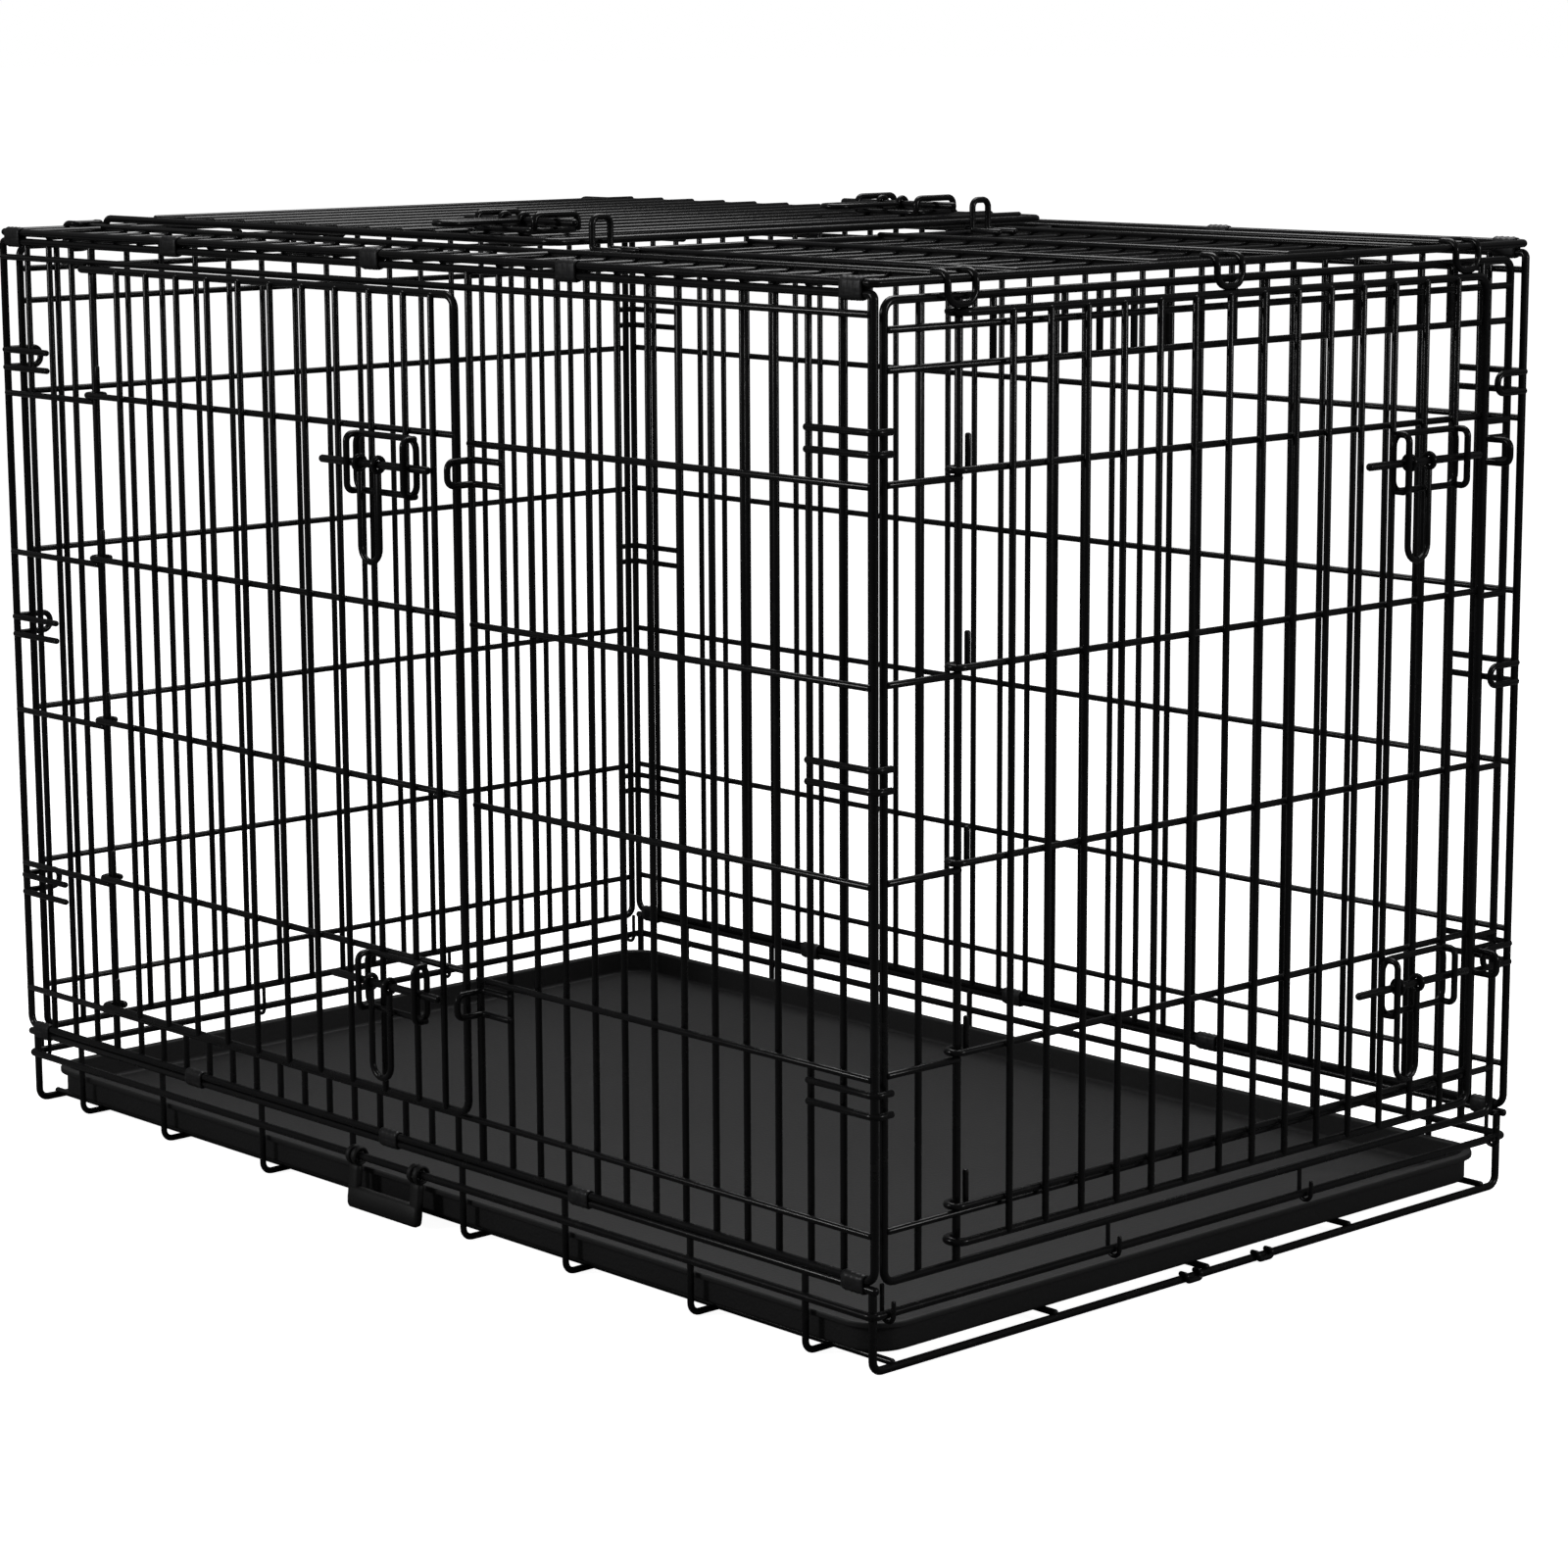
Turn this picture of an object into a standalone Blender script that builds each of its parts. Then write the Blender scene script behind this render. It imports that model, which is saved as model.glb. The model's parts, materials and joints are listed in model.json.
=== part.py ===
"""Folding wire dog crate with a side door, an end door and a top door.

Frame: metres, +Z up, origin on the floor under the middle of the whole outline,
bolts and carry handle included. X runs along the crate, Y across it. The side door
is at -Y, the end door at +X, and the top door is hinged near the -X end.

Every panel is one welded grille. Its wires lie in three layers: the frame in the
middle, the wires that run up (v) on the inner side, the wires that run across (u)
on the outer side. Crossing layers clear each other by a hair and meet in the frame.
"""
import math

import bmesh
import bpy
from mathutils import Matrix, Vector

# ---- driving dimensions ----
LENGTH = 1.067
WIDTH = 0.711
HEIGHT = 0.762
WIRE = 0.0042            # square side with the area of a 4.8 mm round wire
RAIL = 0.0054            # square side with the area of a 6 mm round wire
POST = 0.0052            # doorway posts, a touch slimmer than the rails they end in
LAYER = 0.0023           # middle layer to inner or outer layer
GAP = 0.0003             # clearance between pieces that rest on each other
BAYS = 32                # bays along a side panel and the top panel
END_BAYS = 19            # bays across an end panel

# ---- places of the panels' middle layers ----
SIDE_Y = WIDTH / 2 - 0.0045
END_X = LENGTH / 2 - 0.0070
TOP_Z = HEIGHT - 0.0044
CORNER_X = LENGTH / 2 - 0.0027
PITCH = 2 * CORNER_X / BAYS
END_CORNER = 0.3380
END_PITCH = 2 * END_CORNER / END_BAYS

# ---- heights of the wires ----
HINGE_RAIL_Z = 0.0633
SIDE_BOTTOM_Z = 0.0690
SIDE_TOP_Z = 0.7502
END_BOTTOM_Z = 0.0655
END_TOP_Z = 0.7455
LIP_RAIL_Z = 0.0445
LIP_RAIL_Y = 0.3526
LIP_RAIL_X = 0.5305
SILL_Z = 0.103
HEADER_Z = 0.737
END_HEADER_Z = 0.699
END_BAND_Z = 0.726
CROSS_Z = (0.214, 0.349, 0.486, 0.622)

# ---- doorways, as wire numbers counted from the +X or the -Y end ----
LATCH_POST = 13
SIDE_HINGE_POST = 28
TOP_HINGE_POST = 31
END_HINGE_POST = 2
END_LATCH_POST = 18
TOP_DOORWAY_Y = 0.273

# ---- doors: how far each layer stands out from its panel's middle layer ----
DOOR_IN = 0.0068
DOOR_MID = 0.0091
DOOR_OUT = 0.0114
DOOR_FACE = 0.0135
DOOR_STEP = 0.0423       # spacing of a side or top door's upright wires
END_DOOR_STEP = 0.0373
DOOR_LIFT = 0.0055       # a door's cross wires sit this much above the panel's
EDGE_SHORT = 0.0055      # a door's latch edge stops this short of the post
TOP_DOOR_Y = 0.265

# ---- slide bolts, measured inwards from a door's latch edge ----
ROD_R = 0.0031
ROD_TIP = -0.018
ROD_END = -0.153
ROD_W = DOOR_FACE + 2 * GAP + WIRE + ROD_R
GUIDE_MID = -0.0785
GUIDE_HALF = 0.0372
GUIDE_RISE = 0.0216
STAPLES = (-0.042, -0.112)
HANDLE_MID = -0.0923
HANDLE_HALF = 0.0117
HANDLE_LONG = 0.075
SIDE_LATCH_Z = (0.601, 0.197)
END_LATCH_Z = (0.600, 0.195)
TOP_LATCH_Y = (-0.2265, 0.181)
KEEPER_HALF = 0.0090
KEEPER_PAST = 0.0055

# ---- hooks ----
CORNER_HOOK_Z = (0.651, 0.422, 0.1955)
CORNER_HOOK_HALF = 0.0075
CORNER_HOOK_LONG = 0.066
CORNER_HOOK_X = LENGTH / 2 + 0.0005
TOP_HOOK_Y = (-0.2727, 0.0, 0.2727)
TOP_HOOK_HALF = 0.0135
TOP_HOOK_X = LENGTH / 2 + 0.0017
TOP_HOOK_DOWN = 0.0187
FOOT_Y = (-END_CORNER, -0.1076, 0.1076, END_CORNER)

# ---- base, pan, clips and carry handle ----
FLOOR_X = (0.070, 0.1935, 0.3355, 0.458, 0.5265)
FLOOR_Y = (0.0, 0.165, 0.330)
FLOOR_Z = WIRE / 2
FLOOR_LEG_Y = 0.3487
PAN_X = 0.524
PAN_Y = 0.3435
PAN_LOW = 0.0094
PAN_RIM = 0.0285
PAN_TOP = 0.0330
PAN_WALL = 0.0026
CLIP_LONG = 0.022
CLIP_BAYS = (9, 16, 24)
CLIP_END_X = 0.5116
CLIP_WALL = 0.0012
CARRY_X = -0.0205
CARRY_HALF = 0.046
CARRY_LONG = 0.0365
CARRY_TILT = math.radians(6)

# ---- middle of the whole outline, measured from the middle of the crate's frame ----
OUTLINE_MID = (0.0107, -0.01235, 0.0)

BLACK_WIRE = ("black_wire", (0.012, 0.012, 0.013, 1), 0.38, 0.0)
CLIP_STEEL = ("clip_steel", (0.035, 0.035, 0.037, 1), 0.42, 0.6)
BLACK_PLASTIC = ("black_plastic", (0.028, 0.028, 0.030, 1), 0.55, 0.0)


def clear_scene():
    for thing in list(bpy.data.objects):
        bpy.data.objects.remove(thing)


def new_collection(name):
    group = bpy.data.collections.new(name)
    bpy.context.scene.collection.children.link(group)
    return group


def material(spec):
    name, colour, roughness, metallic = spec
    made = bpy.data.materials.get(name)
    if made is None:
        made = bpy.data.materials.new(name)
        made.use_nodes = True
        shader = made.node_tree.nodes["Principled BSDF"]
        shader.inputs["Base Color"].default_value = colour
        shader.inputs["Roughness"].default_value = roughness
        shader.inputs["Metallic"].default_value = metallic
        made.diffuse_color = colour
    return made


def place(origin, u_axis, v_axis, w_axis):
    """Matrix from a panel's own (u, v, w) to the world, w pointing outwards."""
    turn = Matrix((u_axis, v_axis, w_axis)).transposed().to_4x4()
    return Matrix.Translation(origin) @ turn


FRONT = place((0, -SIDE_Y, 0), (1, 0, 0), (0, 0, 1), (0, -1, 0))
REAR = place((0, SIDE_Y, 0), (-1, 0, 0), (0, 0, 1), (0, 1, 0))
RIGHT = place((END_X, 0, 0), (0, 1, 0), (0, 0, 1), (1, 0, 0))
LEFT = place((-END_X, 0, 0), (0, -1, 0), (0, 0, 1), (-1, 0, 0))
TOP = place((0, 0, TOP_Z), (1, 0, 0), (0, 1, 0), (0, 0, 1))
BASE = Matrix.Identity(4)


def bar(start, end, side=WIRE):
    """A straight square wire between two points that differ along one axis."""
    return Vector(start), Vector(end), side


def up(u, low, high, layer=-LAYER, side=WIRE):
    return bar((u, low, layer), (u, high, layer), side)


def across(v, low, high, layer=LAYER, side=WIRE):
    return bar((low, v, layer), (high, v, layer), side)


def fill(mesh_edit, bars, at):
    for start, end, side in bars:
        middle = (start + end) / 2
        size = [max(abs(run), side) for run in end - start]
        box = at @ Matrix.Translation(middle) @ Matrix.Diagonal((*size, 1))
        bmesh.ops.create_cube(mesh_edit, size=1, matrix=box)


def mesh_object(name, mesh_edit, group):
    mesh = bpy.data.meshes.new(name)
    bmesh.ops.recalc_face_normals(mesh_edit, faces=mesh_edit.faces)
    if mesh_edit.calc_volume(signed=True) < 0:
        bmesh.ops.reverse_faces(mesh_edit, faces=mesh_edit.faces)
    mesh_edit.to_mesh(mesh)
    mesh_edit.free()
    made = bpy.data.objects.new(name, mesh)
    group.objects.link(made)
    return made


def boolean(target, operand, operation, self_overlap=False):
    """Apply one exact Boolean and drop the operand."""
    step = target.modifiers.new("cut", "BOOLEAN")
    step.operation = operation
    step.solver = "EXACT"
    step.object = operand
    step.use_self = self_overlap
    graph = bpy.context.evaluated_depsgraph_get()
    result = bpy.data.meshes.new_from_object(target.evaluated_get(graph))
    target.modifiers.remove(step)
    target.data = result
    bpy.data.objects.remove(operand)


def welded(name, bars, at, spec, group):
    """One closed body from wires that run into each other."""
    first = bmesh.new()
    fill(first, bars[:1], at)
    rest = bmesh.new()
    fill(rest, bars[1:], at)
    made = mesh_object(name, first, group)
    boolean(made, mesh_object(name + "_rest", rest, group), "UNION", self_overlap=True)
    made.data.name = name
    made.data.materials.clear()
    made.data.materials.append(material(spec))
    return made


def wire_x(number):
    """Place along X of upright number 0 to 32 of a side panel, from the +X end."""
    return CORNER_X - number * PITCH


def wire_y(number):
    """Place along Y of upright number 0 to 19 of an end panel, from the -Y end."""
    return -END_CORNER + number * END_PITCH


def outline(half, low, high):
    """The four frame wires of an upright panel."""
    inset = RAIL / 2 - 0.0002
    return [
        across(low, -half - inset, half + inset, 0, RAIL),
        across(high, -half - inset, half + inset, 0, RAIL),
        up(-half, low - 0.001, high + 0.001, 0, RAIL - 0.0002),
        up(half, low - 0.001, high + 0.001, 0, RAIL - 0.0002),
    ]


def corner_hooks(end, reach, looped):
    """Pairs of legs that run along a side panel and turn round its corner."""
    bars = []
    tip = -reach
    for height in CORNER_HOOK_Z:
        for leg in (-CORNER_HOOK_HALF, CORNER_HOOK_HALF):
            z = height + leg
            outside = end * CORNER_HOOK_X
            bars.append(across(z, end * (CORNER_X - CORNER_HOOK_LONG), outside))
            bars.append(bar((outside, z, LAYER + 0.0015), (outside, z, tip), WIRE - 0.0002))
        if looped:
            low = height - CORNER_HOOK_HALF
            high = height + CORNER_HOOK_HALF
            bars.append(bar((outside, low - 0.0015, tip), (outside, high + 0.0015, tip), WIRE - 0.0004))
    return bars


def keeper(name, at, post, far, height, group):
    """A staple beside a doorway post: two legs welded to the next upright, and a bow
    that stands out so that a bolt's tip can pass through it."""
    bow = post + POST / 2 + GAP + WIRE / 2
    out = ROD_W + ROD_R + WIRE / 2 + 0.0005
    bars = [up(bow, height - KEEPER_HALF - 0.0015, height + KEEPER_HALF + 0.0015, out, WIRE - 0.0002)]
    for v in (height - KEEPER_HALF, height + KEEPER_HALF):
        bars.append(across(v, bow - 0.0015, far))
        bars.append(bar((bow, v, LAYER - 0.0010), (bow, v, out + 0.0010), WIRE - 0.0004))
    return welded(name, bars, at, BLACK_WIRE, group)


def side_panel(name, at, doorway, group):
    bars = outline(CORNER_X, SIDE_BOTTOM_Z, SIDE_TOP_Z)
    low = SIDE_BOTTOM_Z - 0.001
    high = SIDE_TOP_Z + 0.001
    for number in range(1, BAYS):
        u = wire_x(number)
        if doorway and number in (LATCH_POST, SIDE_HINGE_POST):
            bars.append(up(u, low, high, 0, POST))
        elif doorway and LATCH_POST < number < SIDE_HINGE_POST:
            bars.append(up(u, low, SILL_Z + 0.001))
        else:
            bars.append(up(u, low, high))
    for height in (SILL_Z, HEADER_Z):
        bars.append(across(height, -CORNER_X - 0.001, CORNER_X + 0.001))
    for height in CROSS_Z:
        if doorway:
            bars.append(across(height, -CORNER_X - 0.001, wire_x(SIDE_HINGE_POST) + 0.001))
            bars.append(across(height, wire_x(LATCH_POST) - 0.001, CORNER_X + 0.001))
        else:
            bars.append(across(height, -CORNER_X - 0.001, CORNER_X + 0.001))
    bars += corner_hooks(1, 0.0150, False)
    bars += corner_hooks(-1, 0.0350, True)
    return welded(name, bars, at, BLACK_WIRE, group)


def end_loops(at_rail):
    """J-shaped feet of an end panel that hang on the base's end rail."""
    bars = []
    reach = 0.0063
    inner = at_rail - reach
    outer = at_rail + reach
    low = LIP_RAIL_Z - reach
    for u in FOOT_Y:
        bars.append(up(u, low, END_BOTTOM_Z, inner, WIRE - 0.0002))
        bars.append(bar((u, low, inner - 0.0015), (u, low, outer + 0.0015)))
        bars.append(up(u, low, LIP_RAIL_Z + 0.0055, outer, WIRE - 0.0002))
    return bars


def end_panel(name, at, doorway, group):
    bars = outline(END_CORNER, END_BOTTOM_Z, END_TOP_Z)
    low = END_BOTTOM_Z - 0.001
    high = END_TOP_Z + 0.001
    for number in range(1, END_BAYS):
        u = wire_y(number)
        if doorway and number in (END_HINGE_POST, END_LATCH_POST):
            bars.append(up(u, low, high, 0, POST))
        elif doorway and END_HINGE_POST < number < END_LATCH_POST:
            bars.append(up(u, END_HEADER_Z - 0.001, high))
        else:
            bars.append(up(u, low, high))
    for height in (SILL_Z, END_HEADER_Z, END_BAND_Z):
        bars.append(across(height, -END_CORNER - 0.001, END_CORNER + 0.001))
    for height in CROSS_Z:
        if doorway:
            bars.append(across(height, -END_CORNER - 0.001, wire_y(END_HINGE_POST) + 0.001))
            bars.append(across(height, wire_y(END_LATCH_POST) - 0.001, END_CORNER + 0.001))
        else:
            bars.append(across(height, -END_CORNER - 0.001, END_CORNER + 0.001))
    bars += end_loops(LIP_RAIL_X - END_X)
    return welded(name, bars, at, BLACK_WIRE, group)


def top_panel(group):
    half = SIDE_Y
    edge = 0.0025
    bars = [
        across(-half, -CORNER_X - edge, CORNER_X + edge, 0, RAIL),
        across(half, -CORNER_X - edge, CORNER_X + edge, 0, RAIL),
        up(-CORNER_X, -half - 0.001, half + 0.001, 0, RAIL - 0.0002),
        up(CORNER_X, -half - 0.001, half + 0.001, 0, RAIL - 0.0002),
    ]
    hinge = wire_x(TOP_HINGE_POST)
    latch = wire_x(LATCH_POST)
    for number in range(1, BAYS):
        u = wire_x(number)
        if number in (LATCH_POST, TOP_HINGE_POST):
            bars.append(up(u, -half - 0.001, half + 0.001, 0, POST))
        elif LATCH_POST < number < TOP_HINGE_POST:
            bars.append(up(u, -half - 0.001, -TOP_DOORWAY_Y + 0.001))
            bars.append(up(u, TOP_DOORWAY_Y - 0.001, half + 0.001))
        else:
            bars.append(up(u, -half - 0.001, half + 0.001))
    for edge_y in (-TOP_DOORWAY_Y, TOP_DOORWAY_Y):
        bars.append(across(edge_y, -CORNER_X - 0.001, CORNER_X + 0.001))
    for number in range(1, 5):
        v = (number / 5 - 0.5) * WIDTH
        bars.append(across(v, latch - 0.001, CORNER_X + 0.001))
        bars.append(across(v, -CORNER_X - 0.001, hinge + 0.001))
    tip = 0.002 - TOP_HOOK_DOWN
    for end in (-1, 1):
        for middle in TOP_HOOK_Y:
            for leg in (-TOP_HOOK_HALF, TOP_HOOK_HALF):
                v = middle + leg
                bars.append(across(v, end * (CORNER_X - 0.040), end * TOP_HOOK_X))
                outside = end * TOP_HOOK_X
                bars.append(bar((outside, v, LAYER + 0.0012), (outside, v, tip), WIRE - 0.0002))
            low, high = middle - TOP_HOOK_HALF - 0.0015, middle + TOP_HOOK_HALF + 0.0015
            bars.append(up(end * TOP_HOOK_X, low, high, tip, WIRE - 0.0004))
    return welded("top_panel", bars, TOP, BLACK_WIRE, group)


def door(name, at, hinge, edge, rails, low, high, uprights, group):
    """A door: cross wires curled round the hinge post, uprights on the outside."""
    curl = DOOR_IN
    bars = [
        up(edge, low - 0.0022, high + 0.0022, DOOR_MID, RAIL - 0.0002),
        across(low, hinge + 0.014, edge + 0.002, DOOR_MID, RAIL - 0.0004),
        across(high, hinge + 0.014, edge + 0.002, DOOR_MID, RAIL - 0.0004),
    ]
    for v in (low, *rails, high):
        far = hinge + 0.030 if v in (low, high) else edge + 0.001
        bars.append(across(v, hinge - curl - 0.0015, far, DOOR_IN))
        bars.append(bar((hinge - curl, v, DOOR_IN), (hinge - curl, v, -curl), WIRE - 0.0002))
        bars.append(across(v, hinge - curl - 0.0015, hinge + 0.004, -curl, WIRE - 0.0004))
    for u in uprights:
        bars.append(up(u, low - 0.001, high + 0.001, DOOR_OUT))
    return welded(name, bars, at, BLACK_WIRE, group)


def latch_frame(at, edge, height):
    """The same axes as the panel, with the origin on the latch edge at a bolt."""
    return at @ Matrix.Translation((edge, height, 0))


def guide(name, at, group):
    """The wire ring that lies on the door, and the two staples over the rod."""
    low_w = DOOR_FACE + GAP + WIRE / 2
    high_w = ROD_W + ROD_R + GAP + WIRE / 2
    left = GUIDE_MID - GUIDE_HALF
    right = GUIDE_MID + GUIDE_HALF
    bars = [
        across(-GUIDE_RISE, left - 0.002, right + 0.002, low_w),
        across(GUIDE_RISE, left - 0.002, right + 0.002, low_w),
        up(left, -GUIDE_RISE - 0.0015, GUIDE_RISE + 0.0015, low_w, WIRE - 0.0002),
        up(right, -GUIDE_RISE - 0.0015, GUIDE_RISE + 0.0015, low_w, WIRE - 0.0002),
    ]
    for u in STAPLES:
        bars.append(up(u, -GUIDE_RISE - 0.0010, GUIDE_RISE + 0.0010, high_w, WIRE - 0.0002))
        for v in (-GUIDE_RISE, GUIDE_RISE):
            bars.append(bar((u, v, low_w), (u, v, high_w + 0.0015), WIRE - 0.0004))
    return welded(name, bars, at, BLACK_WIRE, group)


def rod(name, at, group):
    """The bolt: a round rod that slides along u."""
    length = ROD_TIP - ROD_END
    body = bmesh.new()
    turn = Matrix.Rotation(math.pi / 2, 4, "Y")
    middle = Matrix.Translation(((ROD_TIP + ROD_END) / 2, 0, ROD_W))
    bmesh.ops.create_cone(body, cap_ends=True, segments=10, radius1=ROD_R, radius2=ROD_R,
                          depth=length, matrix=at @ middle @ turn)
    made = mesh_object(name, body, group)
    made.data.materials.append(material(BLACK_WIRE))
    made.data.shade_smooth()
    made.data.set_sharp_from_angle(angle=math.radians(40))
    return made


def bent_wire(name, points, radius, at, spec, group, sides=0):
    """A wire bent through points: a poly curve, made a closed mesh."""
    curve = bpy.data.curves.new(name, "CURVE")
    curve.dimensions = "3D"
    spline = curve.splines.new("POLY")
    spline.points.add(len(points) - 1)
    for point, where in zip(spline.points, points):
        point.co = (*where, 1)
    curve.bevel_depth = radius
    curve.bevel_resolution = sides
    curve.use_fill_caps = True
    path = bpy.data.objects.new(name + "_path", curve)
    group.objects.link(path)
    bpy.context.view_layer.update()
    graph = bpy.context.evaluated_depsgraph_get()
    mesh = bpy.data.meshes.new_from_object(path.evaluated_get(graph))
    body = bmesh.new()
    body.from_mesh(mesh)
    bpy.data.meshes.remove(mesh)
    bmesh.ops.remove_doubles(body, verts=body.verts, dist=0.00001)
    body.transform(at @ path.matrix_world)
    bpy.data.objects.remove(path)
    made = mesh_object(name, body, group)
    made.data.materials.append(material(spec))
    made.data.shade_smooth()
    made.data.set_sharp_from_angle(angle=math.radians(50))
    return made


def hairpin(name, at, group):
    """The handle that hangs from the rod: two legs and a round bend."""
    top = -ROD_R - WIRE / 2 - GAP
    bend = -HANDLE_LONG + HANDLE_HALF
    points = [(HANDLE_MID - HANDLE_HALF, top, ROD_W)]
    for step in range(7):
        angle = math.pi + step * math.pi / 6
        u = HANDLE_MID + HANDLE_HALF * math.cos(angle)
        points.append((u, bend + HANDLE_HALF * math.sin(angle), ROD_W))
    points.append((HANDLE_MID + HANDLE_HALF, top, ROD_W))
    return bent_wire(name, points, 0.0024, at, BLACK_WIRE, group, sides=1)


def latch(prefix, at, edge, height, posts, group):
    here = latch_frame(at, edge, height)
    keeper(prefix + "_keeper", at, posts[0], posts[1], height, group)
    guide(prefix + "_guide", here, group)
    rod(prefix + "_bolt", here, group)
    hairpin(prefix + "_handle", here, group)


def floor_grid(group):
    """The base: cross wires turned up at both sides, lengthwise wires and two rails."""
    bars = []
    long_z = FLOOR_Z + WIRE + GAP
    for x in sorted([-x for x in FLOOR_X] + list(FLOOR_X)):
        outermost = abs(x) == FLOOR_X[-1]
        side = RAIL if outermost else WIRE
        low = FLOOR_Z + (RAIL - WIRE) / 2 if outermost else FLOOR_Z
        bars.append(bar((x, -FLOOR_LEG_Y - 0.0015, low), (x, FLOOR_LEG_Y + 0.0015, low), side))
        for y in (-FLOOR_LEG_Y, FLOOR_LEG_Y):
            bars.append(bar((x, y, FLOOR_Z), (x, y, HINGE_RAIL_Z + 0.001), WIRE - 0.0002))
    for y in sorted({-y for y in FLOOR_Y} | set(FLOOR_Y)):
        bars.append(bar((-FLOOR_X[-1] - 0.001, y, long_z), (FLOOR_X[-1] + 0.001, y, long_z)))
    for side in (-1, 1):
        hinge_rail = [(end * CORNER_X, side * SIDE_Y, HINGE_RAIL_Z) for end in (-1, 1)]
        bars.append(bar(*hinge_rail, RAIL))
        bars.append(bar((-LIP_RAIL_X - 0.0022, side * LIP_RAIL_Y, LIP_RAIL_Z),
                        (LIP_RAIL_X + 0.0022, side * LIP_RAIL_Y, LIP_RAIL_Z), RAIL))
        bars.append(bar((side * LIP_RAIL_X, -LIP_RAIL_Y - 0.001, LIP_RAIL_Z),
                        (side * LIP_RAIL_X, LIP_RAIL_Y + 0.001, LIP_RAIL_Z), RAIL - 0.0002))
    return welded("floor_grid", bars, BASE, BLACK_WIRE, group)


def rounded_block(name, half_x, half_y, low, high, corner, group):
    """A block whose four upright edges are rounded."""
    body = bmesh.new()
    bmesh.ops.create_cube(body, size=1, matrix=Matrix.Translation((0, 0, (low + high) / 2))
                          @ Matrix.Diagonal((2 * half_x, 2 * half_y, high - low, 1)))
    upright = [e for e in body.edges if abs(e.verts[0].co.z - e.verts[1].co.z) > 0.001]
    bmesh.ops.bevel(body, geom=upright, offset=corner, segments=4, affect="EDGES", profile=0.5)
    return mesh_object(name, body, group)


def pan(group):
    """A pull-out tray: a flat floor, upright walls and a rim that turns out."""
    step = 0.0055
    tray = rounded_block("pan", PAN_X - step, PAN_Y - step, PAN_LOW, PAN_TOP - 0.0004, 0.030, group)
    rim = rounded_block("pan_rim", PAN_X, PAN_Y, PAN_RIM, PAN_TOP, 0.034, group)
    inside = rounded_block("pan_inside", PAN_X - step - PAN_WALL, PAN_Y - step - PAN_WALL,
                           PAN_LOW + PAN_WALL, PAN_TOP + 0.01, 0.028, group)
    boolean(tray, rim, "UNION")
    boolean(tray, inside, "DIFFERENCE")
    tray.data.name = "pan"
    tray.data.materials.clear()
    tray.data.materials.append(material(BLACK_PLASTIC))
    return tray


def block(name, low, high, group):
    body = bmesh.new()
    middle = (Vector(low) + Vector(high)) / 2
    size = Vector(high) - Vector(low)
    bmesh.ops.create_cube(body, size=1, matrix=Matrix.Translation(middle) @ Matrix.Diagonal((*size, 1)))
    return mesh_object(name, body, group)


def clip(name, x, y, low_wire, high_wire, group):
    """A sheet-metal band wrapped round two wires, one above the other."""
    half = RAIL / 2 + GAP
    inner_low = (x - CLIP_LONG, y - half, low_wire - half)
    inner_high = (x + CLIP_LONG, y + half, high_wire + half)
    outer_low = (x - CLIP_LONG / 2, y - half - CLIP_WALL, low_wire - half - CLIP_WALL)
    outer_high = (x + CLIP_LONG / 2, y + half + CLIP_WALL, high_wire + half + CLIP_WALL)
    band = block(name, outer_low, outer_high, group)
    boolean(band, block(name + "_bore", inner_low, inner_high, group), "DIFFERENCE")
    band.data.materials.clear()
    band.data.materials.append(material(CLIP_STEEL))
    return band


def clips(group):
    places = [CLIP_END_X]
    for bay in CLIP_BAYS:
        places.append(wire_x(bay + 0.5))
    places.append(-CLIP_END_X)
    for side, y in (("front", -SIDE_Y), ("rear", SIDE_Y)):
        for number, x in enumerate(places, start=1):
            clip(f"{side}_bottom_clip_{number}", x, y, HINGE_RAIL_Z, SIDE_BOTTOM_Z, group)
            clip(f"{side}_top_clip_{number}", x, y, SIDE_TOP_Z, TOP_Z, group)


def cylinder(name, radius, start, end, group, segments=16):
    body = bmesh.new()
    middle = Matrix.Translation(((start + end) / 2, 0, 0))
    turn = Matrix.Rotation(math.pi / 2, 4, "Y")
    bmesh.ops.create_cone(body, cap_ends=True, segments=segments, radius1=radius, radius2=radius,
                          depth=end - start, matrix=middle @ turn)
    return mesh_object(name, body, group)


def carry_handle(group):
    """A moulded handle that hangs from the lip rail by two eyes, down to the floor."""
    eye = 0.0080
    bore = 0.0048
    arm = 0.0130
    thick = 0.0035
    pieces = []
    for side in (-1, 1):
        near = side * CARRY_HALF
        far = side * (CARRY_HALF - arm)
        low, high = min(near, far), max(near, far)
        pieces.append(cylinder("carry_eye", eye, low, high, group))
        inset = 0.0010
        foot = (low + inset, -thick, -CARRY_LONG)
        head = (high - inset, thick, -bore - 0.001)
        pieces.append(block("carry_arm", foot, head, group))
    pieces.append(block("carry_grip", (-CARRY_HALF + 0.0005, -thick - 0.001, -CARRY_LONG - 0.006),
                        (CARRY_HALF - 0.0005, thick + 0.001, -CARRY_LONG + 0.012), group))
    body = pieces.pop()
    body.name = "carry_handle"
    for piece in pieces:
        boolean(body, piece, "UNION")
    boolean(body, cylinder("carry_bore", bore, -1.2 * CARRY_HALF, 1.2 * CARRY_HALF, group), "DIFFERENCE")
    tilt = Matrix.Rotation(-CARRY_TILT, 4, "X")
    body.data.transform(Matrix.Translation((CARRY_X, -LIP_RAIL_Y, LIP_RAIL_Z)) @ tilt)
    body.data.name = "carry_handle"
    body.data.materials.clear()
    body.data.materials.append(material(BLACK_PLASTIC))
    return body


def set_pivot(made, point):
    """Move a piece's own origin to a point on its joint's axis; the shape stays."""
    made.data.transform(Matrix.Translation(-Vector(point)))
    made.location = point


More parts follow.
